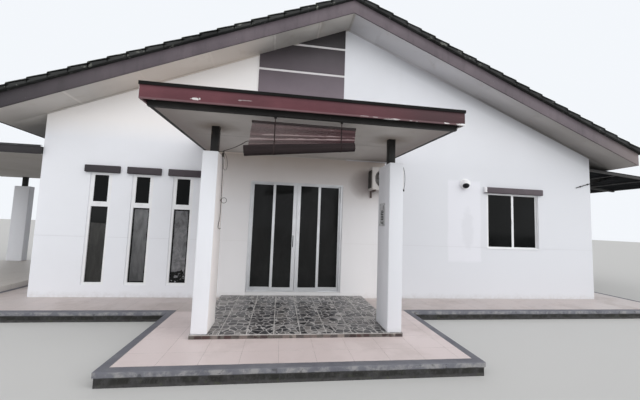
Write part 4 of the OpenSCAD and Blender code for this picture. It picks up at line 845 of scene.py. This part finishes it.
def soffitBoards():
    gable, eave, battens, beads = (bmesh.new() for i in range(4))
    near, far, back = roof["soffitFront"], roof["soffitBack"], wall["back"]
    gap, board = soffit["gap"], soffit["board"]
    for side, word, wallFace in ((-1, "left", -wall["left"]), (1, "right", wall["right"])):
        turn = slopeFrame(side)
        edge = roof[word] - roof["over"] - roof["boardThick"]
        stops = [0.0, *soffit[word], edge]
        for low, high in ((near, 0.0), (back, far)):
            for a, b in zip(stops, stops[1:]):
                block(gable, (a + gap, low, 0), (b - gap, high, board), turn)
            for a in soffit[word]:
                half = soffit["battenHalf"]
                block(battens, (a - half, low, -soffit["battenHigh"]), (a + half, high, 0.0), turn)
        for low in (-soffit["beadWide"], back):
            block(beads, (0, low, -soffit["beadHigh"]), (wallFace, low + soffit["beadWide"], 0.0), turn)
        y = 0.0
        while y < back - 0.01:
            block(eave, (wallFace, y + gap, 0), (edge, min(y + soffit["eaveBoard"], back) - gap, board), turn)
            y += soffit["eaveBoard"]
    for bm, soft, segments in ((gable, 0.0015, 1), (eave, 0.0015, 1), (battens, 0.002, 1), (beads, 0.005, 2)):
        softenEdges(bm, soft, segments)
    placePiece(gable, "gableSoffits", lining, instead=("gable_soffits",))
    placePiece(eave, "eaveSoffits", lining, instead=("eave_soffits",))
    placePiece(battens, "soffitBattens", liningBoard("battenPaint", 1.08, 1.0), slot="lining_board")
    placePiece(beads, "soffitBeads", lining, slot="lining_board")


def buildRoof():
    # the verge tiles: a darker copy of the roof clay as painted shade on their faces, with a painted highlight on
    # their top edges
    vergeClay = roofTileClay("vergeClay", 0.60, 0.42, 0.9)
    top, gauge = roof["topCourse"], roof["gauge"]
    for side, word in ((-1, "Left"), (1, "Right")):
        reach = roof[word.lower()]
        rows = int((reach - top) / gauge)
        foil = plainPaint("roofDeck" + word + "Foil", (0.30, 0.30, 0.31), (0.42, 0.42, 0.42), 0.5)
        deck, edge = bmesh.new(), reach - roof["over"] - roof["boardThick"]
        block(deck, (0, roof["soffitFront"], roof["deckFrom"]),
              (edge, roof["soffitBack"], roof["boardHeight"] + roof["deckOver"]), slopeFrame(side))
        placePiece(deck, "roofDeck" + word, foil, instead=("roof_" + word.lower(),), slot="roof_tile")
        tileRow("ridgeCourse" + word, side, 0.0, top)
        tileRow("roofTiles" + word, side, top, top + gauge, rows)
        tileRow("eaveCourse" + word, side, top + rows * gauge, reach)
        courses = [0.0, *(top + k * gauge for k in range(rows + 1)), reach]
        vergeTiles("vergeTiles" + word, side, courses, vergeClay)
    dressed("ridge_tiles", clay, 0.0)
    dressed("barge_boards", mauve, 0.004)
    dressed("eave_boards", mauve, 0.004)
    soffitBoards()
    print("roof covered")


# gable panel

panel = {"bands": (4.676, 5.259), "bandHigh": 0.045, "plate": 0.008, "edge": 0.0025, "gap": 0.0003}


def buildPanel():
    low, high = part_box("gable_panel")
    back, plates = bmesh.new(), bmesh.new()
    peak = roof["apex"] - panel["gap"]
    edges = [low.z] + [z + s * panel["bandHigh"] / 2 for z in panel["bands"] for s in (-1, 1)] + [high.z + 0.1]
    for vert in block(back, (low.x, low.y + panel["plate"], low.z), (high.x, high.y, high.z + 0.5)):
        vert.co.z = min(vert.co.z, peak - roof["slope"] * abs(vert.co.x))
    for a, b in zip(edges[::2], edges[1::2]):
        geom = set(block(plates, (low.x, low.y, a), (high.x, low.y + panel["plate"] - 0.0002, b)))
        for vert in list(geom):
            geom.update(vert.link_edges)
            geom.update(vert.link_faces)
        bmesh.ops.bisect_plane(plates, geom=list(geom), plane_co=(0, 0, peak), plane_no=(-roof["slope"], 0, 1),
                               clear_outer=True, dist=0.0001)
    bmesh.ops.holes_fill(plates, edges=rimOf(plates), sides=12)
    softenEdges(plates, panel["edge"])
    bands = framePaint("bandPaint", (0.72, 0.70, 0.71), (0.60, 0.58, 0.59), 0.5)
    placePiece(back, "panelBands", bands, instead=("gable_panel",))
    placePiece(plates, "panelPlates", panelPaint(), slot="mauve_paint")
    print("gable panel fitted")


# windows

# narrow panes: half their width, sill, head and how deep they stand; wide panes: from, to and how deep
glazing = {"narrow": (-4.527, -3.810, -3.093), "lowerPane": (0.1425, 0.410, 1.77, 0.042),
           "upperPane": (0.1175, 1.86, 2.347, 0.025), "wide": 3.17, "wideSill": 1.238, "wideHead": 2.3595,
           "widePanes": ((0.043, 0.595, 0.027), (0.645, 1.197, 0.057)), "sealWide": 0.004,
           "catchAt": 1.825, "wideCatchAt": 1.74, "catchHigh": 0.09}


def paneSeal(bm, x0, x1, z0, z1, face, deep):
    # a rubber strip round a pane, against its frame
    w = glazing["sealWide"]
    for a, b in (((x0, z0), (x1, z0 + w)), ((x0, z1 - w), (x1, z1)), ((x0, z0), (x0 + w, z1)),
                 ((x1 - w, z0), (x1, z1))):
        block(bm, (a[0], face - deep, a[1]), (b[0], face - 0.0002, b[1]))


def buildWindows():
    dressed("window_hoods", mauvePaint("hoodPaint", 0.71, 1.35, -1.5))
    dressed("window_frames", whiteFrame, 0.0015, 1)
    bm = solidOf("window_glass")
    # the lower panes of the narrow windows have film behind them
    for face in bm.faces:
        c = face.calc_center_median()
        face.material_index = 1 if c.x < -2.8 and c.y < 0.1 and c.z < 1.8 else 0
    pane = darkPane("windowPane", (0.0045, 0.005, 0.005), (0.012, 0.013, 0.014), 0.05)
    placePiece(bm, "windowGlass", pane, dustyPane(), instead=("window_glass",), outward=False)
    seals, catches = bmesh.new(), []
    start, z = glazing["wide"], glazing["catchAt"]
    for x in glazing["narrow"]:
        for half, sill, head, face in (glazing["lowerPane"], glazing["upperPane"]):
            paneSeal(seals, x - half, x + half, sill, head, face, 0.004)
        catches += [((x - 0.012, 0.003, z), (x + 0.012, 0.015, z + 0.020)),
                    ((x - 0.055, 0.0, z + 0.004), (x + 0.012, 0.006, z + 0.016))]
    for x0, x1, face in glazing["widePanes"]:
        paneSeal(seals, start + x0, start + x1, glazing["wideSill"], glazing["wideHead"], face, 0.004)
    z = glazing["wideCatchAt"]
    catches.append(((start + 0.60, 0.006, z), (start + 0.62, 0.0175, z + glazing["catchHigh"])))
    placePiece(seals, "windowSeals", seal, slot="black_plastic")
    blocks("windowCatches", whiteFrame, "white_aluminium", catches, 0.0015)
    print("windows glazed")


# sliding door

door = {"meetingStile": 0.070, "stile": 0.050, "bottomRail": 0.065, "paneTop": 2.062, "paneFace": 0.052,
        "lockIn": 0.024, "lockWide": 0.016, "lockThick": 0.0028, "lockZ": (1.19, 1.28), "lockFace": 0.036,
        "cylinderZ": 1.25, "cylinderProud": 0.004, "cylinder": 0.006}


def buildDoor():
    doorPane = darkPane("doorPane", (0.014, 0.0145, 0.0145), (0.036, 0.037, 0.037), 0.14)
    dressed("door_frame", silver, 0.001, 1)
    dressed("fixed_leaves", silver, 0.0012, 1)
    dressed("fixed_glass", doorPane, 0.0)
    for word in ("left", "right"):
        body = "leaf_" + word
        dressed("sliding_leaf_" + word, silver, 0.0012, 1, body)
        dressed("sliding_glass_" + word, doorPane, 0.0, body=body)
        seals = bmesh.new()
        low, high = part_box("sliding_leaf_" + word)
        # the stiles where both leaves meet are the wider ones
        left, right = door["meetingStile"], door["stile"]
        if word == "left":
            left, right = right, left
        paneSeal(seals, low.x + left, high.x - right, low.z + door["bottomRail"], low.z + door["paneTop"],
                 door["paneFace"], 0.006)
        placePiece(seals, "leafSeals" + word.title(), seal, body=body, slot="black_plastic")
    dressed("pull_handle", blackPlastic, 0.0, body="leaf_left")
    lock, low, wide = bmesh.new(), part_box("sliding_leaf_right")[0], door["lockWide"]
    x, face, back = low.x + door["lockIn"], door["lockFace"], door["lockFace"] + door["lockThick"]
    foot, head = door["lockZ"]
    block(lock, (x, face, foot), (x + wide, back, head))
    middle, z = x + wide / 2, door["cylinderZ"]
    rod(lock, (middle, back, z), (middle, face - door["cylinderProud"], z), door["cylinder"], 16)
    softenEdges(lock, 0.001)
    placePiece(lock, "lockPlate", silver, body="leaf_right", slot="silver_aluminium")
    print("sliding door hung")


# entrance canopy

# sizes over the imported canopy: caps on the corners of the fascia, a bead along the wall, screws in the sheet
canopyTrim = {"capProud": 0.002, "capGap": 0.0002, "capDeep": 0.055, "capHigh": 0.132, "lipLong": 0.052,
              "lipHigh": 0.020, "beadInset": 0.07, "beadWide": 0.022, "beadOff": 0.001, "beadDrop": 0.0235,
              "washer": (0.009, 10), "screwHead": (0.005, 6)}


def lift(y):
    return canopy["rise"] + y * canopy["fall"]


def buildCanopy():
    beamPaint = plainPaint("beamPaint", (0.017, 0.0165, 0.016), (0.036, 0.034, 0.033), 0.5, (0.16, 0.14, 0.13),
                           specular=0.10)
    stripPaint = plainPaint("edgeStripPaint", (0.007, 0.007, 0.007), (0.016, 0.015, 0.015), 0.6, specular=0.05)
    dressed("canopy_posts", black, 0.006)
    dressed("canopy_beams", beamPaint, segments=1)
    dressed("canopy_ceiling", canopyLining(), 0.0)
    dressed("canopy_fascia", redFasciaPaint())
    dressed("canopy_sheet", ribbedSheet("canopySheetMetal", (0.34, 0.35, 0.35), (0.24, 0.245, 0.25)), 0.0)
    dressed("canopy_edge_strip", stripPaint, 0.0006, 1)
    low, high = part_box("canopy_fascia")
    left, right, front, foot = low.x, high.x, low.y, canopy["fasciaZ"]
    proud, gap = canopyTrim["capProud"], canopyTrim["capGap"]
    caps = [((x0, front - proud, foot - 0.001), (x1, front + canopyTrim["capDeep"], foot + canopyTrim["capHigh"]))
            for x0, x1 in ((left - proud, left - gap), (right + gap, right + proud))]
    lip = right - canopyTrim["lipLong"], foot + canopyTrim["lipHigh"]
    caps.append(((lip[0], front - proud - gap, foot - 0.0015), (right + proud, front - 2 * gap, lip[1])))
    blocks("canopyCornerCaps", whiteFrame, "white_aluminium", caps, 0.0004, 1)
    inset, wide, off = (canopyTrim[word] for word in ("beadInset", "beadWide", "beadOff"))
    z = canopy["ceiling"] + lift(-wide / 2) - canopyTrim["beadDrop"]
    bead = (left + inset, -wide, z), (right - inset, -off, z + wide)
    blocks("canopyWallBead", lining, "lining_board", [bead], 0.005)
    zinc = plainPaint("screwZinc", (0.30, 0.30, 0.30), (0.45, 0.45, 0.44), 0.4, (0.16, 0.08, 0.04), 4.0, 0.6)
    screws = bmesh.new()
    for rib in range(canopy["ribs"]):
        x = canopy["axis"] + (rib - canopy["ribs"] // 2) * canopy["ribPitch"]
        for row in range(canopy["screwRows"]):
            y = canopy["firstRow"] + row * canopy["rowPitch"]
            z = canopy["sheet"] + lift(y) + canopy["rib"]
            rod(screws, (x, y, z - 0.0005), (x, y, z + 0.002), *canopyTrim["washer"])
            rod(screws, (x, y, z + 0.002), (x, y, z + 0.006), *canopyTrim["screwHead"])
    placePiece(screws, "canopyScrews", zinc, slot="roof_sheet")
    print("canopy roofed")


# rolled blind

# bleached: how pale single slats are, counted from the top
blind = {"left": -1.633, "right": -0.383, "slip": (0.032, 0.012), "rollSlip": 0.042, "rollPast": 0.035,
         "y": -2.425, "top": 2.744, "rollLeft": 2.408, "rollRight": 2.532, "radius": (0.066, 0.055),
         "slats": 27, "slat": 0.0037, "flat": 0.62, "wobble": 0.0012, "uneven": 0.006,
         "turnLength": 0.0076, "layer": 0.0066, "core": 0.016, "tapes": (-1.360, -0.560),
         "tapeWide": 0.014, "tapeThick": 0.0012,
         "bleached": {2: 0.66, 3: 0.6, 11: 0.66, 12: 0.74, 16: 0.72, 17: 0.84, 18: 0.68, 22: 0.62}}


def slatLine(share):
    # x and z of both ends of a slat, this share of the way down
    top = blind["top"] - 0.004
    ends = [blind[word] + radius * 0.45 for word, radius in zip(("rollLeft", "rollRight"), blind["radius"])]
    return [(edge - slip * share, top + (end - top) * share)
            for edge, slip, end in zip((blind["left"], blind["right"]), blind["slip"], ends)]


def rollAxis():
    wide, past = blind["right"] - blind["left"], blind["rollPast"]
    rise = (blind["rollRight"] - blind["rollLeft"]) / wide
    start = Vector((blind["left"] - blind["rollSlip"] - past, blind["y"] + 0.2 * blind["radius"][0],
                    blind["rollLeft"] - past * rise))
    length = wide + 2 * past
    return start, start + Vector((length, 0, length * rise))


def hangSlats():
    wood = slatWood("slatWood", (0.036, 0.018, 0.021), (0.135, 0.078, 0.083), (0.42, 0.33, 0.33))
    sheet, middle = bmesh.new(), blind["y"]
    tone = sheet.verts.layers.float.new("tone")
    for k in range(blind["slats"]):
        (x0, z0), (x1, z1) = slatLine((k + 0.5) / blind["slats"])
        y = middle + dice.uniform(-blind["wobble"], blind["wobble"])
        x0, x1 = x0 + dice.uniform(0, blind["uneven"]), x1 - dice.uniform(0, blind["uneven"])
        slat = rod(sheet, (x0, y, z0), (x1, y, z1), blind["slat"])
        own = blind["bleached"].get(k, dice.uniform(0.0, 0.42))
        for vert in slat:
            vert.co.y = middle + (vert.co.y - middle) * blind["flat"]
            vert[tone] = own
    placePiece(sheet, "blindSlats", wood, instead=("blind_slats",))


def rollUp(start, end):
    # slats wound in a spiral round a core
    wood = slatWood("rolledWood", (0.020, 0.015, 0.016), (0.048, 0.036, 0.037), (0.10, 0.08, 0.078))
    roll = bmesh.new()
    tone = roll.verts.layers.float.new("tone")
    run = (end - start).normalized()
    upward = (Vector((0, 0, 1)) - run * run.z).normalized()
    ahead = run.cross(upward)
    wide, narrow = blind["radius"]
    radius, angle = wide - 0.0035, 0.0
    while radius > blind["core"]:
        inset = run * dice.uniform(0.001, 0.007)
        way = (upward * math.cos(angle) + ahead * math.sin(angle)) * radius
        own = dice.uniform(0.0, 0.6)
        for vert in rod(roll, start + way + inset, end + way * (narrow / wide) - inset, 0.0034, 6):
            vert[tone] = own
        turned = blind["turnLength"] / radius
        angle += turned
        radius -= blind["layer"] * turned / math.tau
    rod(roll, start + run * 0.012, end - run * 0.012, 0.018, 16)
    placePiece(roll, "blindRoll", wood, instead=("blind_roll",))


def buildBlind():
    hangSlats()
    start, end = rollAxis()
    rollUp(start, end)
    dressed("blind_rail", plainPaint("railPaint", (0.020, 0.015, 0.015), (0.045, 0.032, 0.032), 0.5), 0.002)
    tapes, top, (wide, narrow) = bmesh.new(), blind["top"], blind["radius"]
    for x in blind["tapes"]:
        share = (x - start.x) / (end.x - start.x)
        axis = start.lerp(end, share)
        around = wide + (narrow - wide) * share + 0.0006
        rail, slats = blind["y"] - 0.0145, blind["y"] - 0.0042
        path = [(rail, top + 0.025), (rail, top - 0.002), (slats, top - 0.009), (slats, axis.z + around + 0.006)]
        for k in range(17):
            angle = math.radians(60 - 15 * k)
            path.append((axis.y - math.cos(angle) * around, axis.z + math.sin(angle) * around))
        edge = [tapes.verts.new((x - 0.010, y, z)) for y, z in path]
        lines = [tapes.edges.new(pair) for pair in zip(edge, edge[1:])]
        side = newVerts(bmesh.ops.extrude_edge_only(tapes, edges=lines))
        bmesh.ops.translate(tapes, vec=(blind["tapeWide"], 0, 0), verts=side)
    bmesh.ops.recalc_face_normals(tapes, faces=tapes.faces)
    bmesh.ops.solidify(tapes, geom=tapes.faces[:], thickness=blind["tapeThick"])
    cloth = plainPaint("tapeCloth", (0.022, 0.015, 0.015), (0.048, 0.034, 0.034), 0.9)
    placePiece(tapes, "blindTapes", cloth, slot="brown_cord")
    print("blind rolled")


# cords

# routes in millimetres; ring and knots in metres
cords = {"diameter": 0.008,
         "pull": [(-1657.4, -2425, 2520), (-1676, -2421, 2516), (-1750, -2312, 2504), (-1850, -2150, 2501),
                  (-1950, -1986, 2509), (-2015, -1866, 2522), (-2044, -1810, 2527.5), (-2057, -1794, 2522.8),
                  (-2058, -1788.5, 2520.5), (-2059, -1786.2, 2515), (-2060, -1786, 2479), (-2056, -1786, 2380),
                  (-2051, -1787, 2280), (-2050, -1786, 2160), (-2049, -1786, 2040), (-2048, -1785, 1920),
                  (-2047, -1786, 1800), (-2047, -1785, 1700), (-2049, -1785, 1620), (-2057, -1788, 1560),
                  (-2061, -1793, 1520), (-2057, -1800, 1488), (-2042, -1804, 1474), (-2028, -1804, 1488)],
         "post": [(340, -1844, 2480), (340, -1856, 2480), (350, -1876, 2480), (374, -1891, 2480),
                  (404, -1898, 2478), (434, -1900, 2462), (456, -1901, 2427), (470, -1901, 2380),
                  (478, -1901, 2320), (480, -1901, 2250), (477, -1901, 2183), (470, -1901, 2140),
                  (463, -1901, 2108)],
         "loop": [(-2050, -1794, 2521.5), (-2048, -1799.8, 2516), (-2045, -1800.5, 2500), (-2040, -1800, 2460),
                  (-2040, -1799, 2380), (-2041, -1798, 2315), (-2034, -1797, 2280), (-2019, -1796, 2266),
                  (-2003, -1795, 2276), (-1994, -1793, 2306), (-1993, -1792, 2360), (-2002, -1790, 2420),
                  (-2020, -1789, 2470), (-2040, -1788, 2503), (-2048, -1788.2, 2515)],
         "ring": (-2.010, -1.790, 1.857, 0.036), "ringSides": 28,
         "pegKnot": ((-2.0592, -1.786), 0.0078, 2.448, 2.503, 6.5),
         "ringKnot": ((-2.0475, -1.7855), 0.0068, 1.843, 1.871, 4.0)}


def eased(route, gap=0.028):
    # the same smooth curve through the points as the solid's
    points = [Vector(p) / 1000 for p in route]
    spread, path = points[:1] + points + points[-1:], []
    for a, b, c, d in zip(spread, spread[1:], spread[2:], spread[3:]):
        count = max(1, math.ceil((c - b).length / gap))
        for t in (k / count for k in range(count)):
            bend = (2 * a - 5 * b + 4 * c - d) * t * t + (3 * b - a - 3 * c + d) * t ** 3
            path.append(0.5 * (2 * b + (c - a) * t + bend))
    return path + [points[-1]]


def tube(name, path, radius, finish, closed=False):
    curve = bpy.data.curves.new(name + "Line", "CURVE")
    curve.dimensions, curve.use_fill_caps = "3D", True
    curve.bevel_depth, curve.bevel_resolution = radius, 1
    line = curve.splines.new("POLY")
    line.points.add(len(path) - 1)
    line.use_cyclic_u = closed
    for point, spot in zip(line.points, path):
        point.co = (*spot, 1.0)
    holder = bpy.data.objects.new(name + "Line", curve)
    mesh = bpy.data.meshes.new_from_object(holder)
    bpy.data.objects.remove(holder)
    bm = bmesh.new()
    bm.from_mesh(mesh)
    bpy.data.meshes.remove(mesh)
    bmesh.ops.remove_doubles(bm, verts=bm.verts, dist=0.00001)
    return placePiece(bm, name, finish)


def lengthOf(path):
    return sum((b - a).length for a, b in zip(path, path[1:]))


def wound(centre, radius, low, high, turns):
    # turns of cord wrapped around an upright one
    steps, path = int(turns * 14), []
    for k in range(steps + 1):
        angle = math.tau * turns * k / steps
        path.append(Vector((centre[0] + math.cos(angle) * radius, centre[1] + math.sin(angle) * radius,
                            high + (low - high) * k / steps)))
    return path


def buildCords():
    brown = twistedFibre("brownCord", (0.018, 0.014, 0.011), (0.060, 0.047, 0.037))
    pale = twistedFibre("loopCord", (0.060, 0.055, 0.050), (0.150, 0.138, 0.128))
    grey = twistedFibre("greyCord", (0.050, 0.050, 0.052), (0.125, 0.125, 0.128))
    pull = eased(cords["pull"])
    rope = tube("pullCord", pull, cords["diameter"] / 2, brown)
    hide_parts("pull_cord")
    x, y, z, radius = cords["ring"]
    angles = [math.tau * k / cords["ringSides"] for k in range(cords["ringSides"])]
    ring = [Vector((x - math.cos(a) * radius, y + math.sin(a) * 0.004, z + math.sin(a) * radius))
            for a in angles]
    extras = [tube("cordLoop", eased(cords["loop"] + cords["loop"][:1], 0.012)[:-1], 0.003, pale, closed=True),
              tube("cordRing", ring, 0.003, brown, closed=True),
              tube("pegKnot", wound(*cords["pegKnot"]), 0.0042, brown),
              tube("ringKnot", wound(*cords["ringKnot"]), 0.0034, brown)]
    round(lengthOf(pull), 3)
    tail = eased(cords["post"])
    stub = tube("postCord", tail, cords["diameter"] / 2, grey)
    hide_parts("column_cord")
    bob = bmesh.new()
    top, waist, foot = (tail[-1] + Vector((0, 0, z)) for z in (0.012, -0.010, -0.018))
    rod(bob, top, waist, 0.010, 16, 0.0125)
    rod(bob, waist, foot, 0.0125, 16, 0.008)
    softenEdges(bob, 0.002)
    weight = placePiece(bob, "postCordBob", blackPlastic, slot="black_plastic")
    round(lengthOf(tail), 3)
    dressed("cord_hook", black, 0.0)
    print("cords hung")


# fittings on the walls

# a digit is drawn with some of the seven strokes a to g
plate = {"digits": "1234", "stroke": 0.013, "high": 0.050, "wide": 0.100, "first": 0.045, "pitch": 0.074,
         "proud": 0.002, "screwIn": 0.02, "strokes": {"1": "bc", "2": "abged", "3": "abgcd", "4": "fgbc"}}
unit = {"paint": ((0.60, 0.575, 0.56), (0.46, 0.43, 0.42)), "fins": 22, "finFirst": 0.045, "finPitch": 0.0155,
        "finHigh": 0.004}


def plateMetal():
    f = Finish("plateMetal", roughness=0.4, specular=0.3)
    dull = f.patchy(7)
    f.colour = f.blend((0.50, 0.51, 0.53), (0.66, 0.67, 0.69), dull)
    return f.done(f.grain(240, 0.0003), (dull, 0.35, 0.6))


def lensGloss():
    f = Finish("lensGloss", roughness=0.08, specular=0.12)
    smear = f.patchy(20, 0.4, 0.8, 4, 0.5)
    f.colour = f.blend((0.008, 0.008, 0.009), (0.03, 0.03, 0.032), smear)
    return f.done(rough=(smear, 0.06, 0.25))


def markPlate():
    low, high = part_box("number_plate")
    marks = bmesh.new()
    face, middle = low.x + plate["proud"], (low.y + high.y) / 2
    side, half, full, s = plate["wide"] / 2, plate["high"] / 2, plate["high"], plate["stroke"]
    spots = {"a": (-side, 0, side, s), "g": (-side, -half, side, s - half), "d": (-side, -full, side, s - full),
             "b": (side - s, -half, side, s), "c": (side - s, -full, side, s - half),
             "e": (-side, -full, s - side, s - half), "f": (-side, -half, s - side, s)}
    for row, digit in enumerate(plate["digits"]):
        z = high.z - plate["first"] - row * plate["pitch"]
        for key in plate["strokes"][digit]:
            y0, z0, y1, z1 = spots[key]
            block(marks, (face - 0.0025, middle - y1, z + z0), (face + 0.0005, middle - y0, z + z1))
    inset = plate["screwIn"]
    for y in (low.y + inset, high.y - inset):
        for z in (low.z + inset, high.z - inset):
            rod(marks, (face + 0.0005, y, z), (face - 0.002, y, z), 0.005, 12)
    placePiece(marks, "plateMarks", blackPlastic, slot="black_plastic")


def buildFittings():
    dressed("number_plate", plateMetal(), 0.001)
    markPlate()
    dressed("camera_housing", framePaint("cameraShell", (0.87, 0.87, 0.88), (0.76, 0.76, 0.76), 0.42), 0.0)
    dressed("camera_lens", lensGloss(), 0.0)
    dressed("corner_rod", blackPlastic, 0.0)
    unitPaint = framePaint("unitPaint", *unit["paint"], 0.45)
    dressed("unit_housing", unitPaint, 0.0)
    # the grille is painted dark grey: painted shade for the dark fan chamber seen between its thin wires
    dressed("fan_grille", plainPaint("grillePlastic", (0.045, 0.046, 0.048), (0.085, 0.087, 0.09), 0.45), 0.0)
    dressed("fan_blades", plainPaint("bladePlastic", (0.020, 0.021, 0.022), (0.035, 0.036, 0.038), 0.5), 0.0)
    rusty = plainPaint("bracketPaint", (0.085, 0.068, 0.062), (0.19, 0.15, 0.14), 0.6, (0.20, 0.10, 0.06))
    dressed("unit_brackets", rusty, 0.0015)
    low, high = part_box("unit_housing")
    coil = [((low.x + 0.0025, low.y + 0.03, low.z + 0.035), (low.x + 0.006, high.y - 0.02, high.z - 0.05))]
    for k in range(unit["fins"]):
        z = low.z + unit["finFirst"] + k * unit["finPitch"]
        coil.append(((low.x, low.y + 0.03, z), (low.x + 0.004, high.y - 0.02, z + unit["finHigh"])))
    blocks("unitCoil", coilMetal(), "grey_plastic", coil)
    trim = [((x, low.y + 0.02, low.z), (x + 0.05, high.y - 0.02, low.z + 0.012))
            for x in (low.x + 0.07, high.x - 0.12)]
    trim.append(((high.x - 0.016, low.y + 0.09, low.z + 0.03), (high.x - 0.001, high.y - 0.04, low.z + 0.15)))
    blocks("unitTrim", unitPaint, "white_steel", trim, 0.003)
    print("fittings fixed")


# porch and awning

def buildPorch():
    fasciaPaint = plainPaint("porchFasciaPaint", (0.024, 0.022, 0.024), (0.044, 0.041, 0.044), 0.45,
                             (0.12, 0.11, 0.11))
    stripPaint = plainPaint("stripPaint", (0.028, 0.028, 0.030), (0.055, 0.055, 0.058), 0.5)
    awningMetal = ribbedSheet("awningSheetMetal", (0.030, 0.031, 0.033), (0.015, 0.016, 0.017), 0.1, 0.0)
    steel = plainPaint("bracketSteel", (0.035, 0.035, 0.036), (0.075, 0.074, 0.073), 0.55, (0.14, 0.07, 0.04))
    dressed("porch_posts", black, 0.006)
    dressed("porch_beams", black, segments=1)
    dressed("porch_ceiling", liningBoard("porchLining", 0.70, 0.0), 0.0)
    dressed("porch_fascia_boards", fasciaPaint, name="porchFascia")
    dressed("porch_edge_strip", stripPaint, 0.0006, 1)
    dressed("porch_sheet", ribbedSheet("porchSheetMetal", (0.30, 0.305, 0.31), (0.20, 0.205, 0.21)), 0.0)
    dressed("awning_sheet", awningMetal, 0.0)
    dressed("awning_frame", steel, 0.002, 1)
    print("porch and awning built")


# stage, light and camera

view = {"spot": (-1.2557, -5.9127, 1.5792), "yaw": 7.5172, "pitch": 4.7223, "roll": 2.0546, "lens": 16.797}
light = {"horizon": 0.54, "zenith": 0.46, "sky": (0.975, 0.98, 1.0), "backdrop": (0.90, 0.93, 0.97),
         "sunSize": 75, "suns": [("keySun", 2.0, (62, 0, 44)), ("fillSun", 0.85, (64, 0, -50))]}


def lightStudio():
    world = bpy.data.worlds.new("studio")
    bpy.context.scene.world = world
    world.use_nodes = True
    world.node_tree.nodes.clear()
    sheet = Nodes(world.node_tree)
    camera, glossy, through = (sheet.add("LightPath", out="Is %s Ray" % word)
                               for word in ("Camera", "Glossy", "Transmission"))
    seen = sheet.maths("MAXIMUM", camera, sheet.maths("MAXIMUM", glossy, through))
    height = sheet.add("SeparateXYZ", {}, {0: sheet.add("TexCoord", out="Generated")}, 2)
    strength = sheet.span(height, 0.0, 0.9, light["horizon"], light["zenith"])
    lamp = sheet.add("Background", {}, {"Color": light["sky"], "Strength": strength})
    pale = sheet.add("Background", {}, {"Color": light["backdrop"], "Strength": 1.0})
    sheet.add("OutputWorld", {}, {"Surface": sheet.add("MixShader", {}, {0: seen, 1: lamp, 2: pale})})
    for name, energy, turn in light["suns"]:
        sun = bpy.data.lights.new(name, "SUN")
        sun.energy, sun.angle = energy, math.radians(light["sunSize"])
        addObject(name, sun).rotation_euler = [math.radians(a) for a in turn]


def buildStage():
    floor = bpy.data.meshes.new("ground")
    bm = bmesh.new()
    bmesh.ops.create_grid(bm, x_segments=1, y_segments=1, size=90)
    bm.to_mesh(floor)
    bm.free()
    ground = addObject("ground", floor)
    f = Finish("paleFloor", roughness=0.95, specular=0.1)
    f.colour = (0.62, 0.62, 0.61)
    floor.materials.append(f.done())
    ground.location = (0, 0, -0.001)
    lightStudio()


def placeCamera():
    yaw, pitch, roll = (math.radians(view[k]) for k in ("yaw", "pitch", "roll"))
    ahead = Vector((math.sin(yaw) * math.cos(pitch), math.cos(yaw) * math.cos(pitch), math.sin(pitch)))
    level = Vector((math.cos(yaw), -math.sin(yaw), 0))
    above = level.cross(ahead)
    right = level * math.cos(roll) + above * math.sin(roll)
    up = above * math.cos(roll) - level * math.sin(roll)
    camera = bpy.data.cameras.new("viewer")
    camera.sensor_width, camera.lens, camera.clip_end = 36, view["lens"], 400
    holder = addObject("viewer", camera)
    holder.matrix_world = Matrix.Translation(view["spot"]) @ Matrix((right, up, -ahead)).transposed().to_4x4()
    bpy.context.scene.camera = holder


buildFloors()
buildWalls()
buildRoof()
buildPanel()
buildWindows()
buildDoor()
buildCanopy()
buildBlind()
buildCords()
buildFittings()
buildPorch()
buildStage()
placeCamera()
bpy.context.scene.view_settings.view_transform = "Standard"
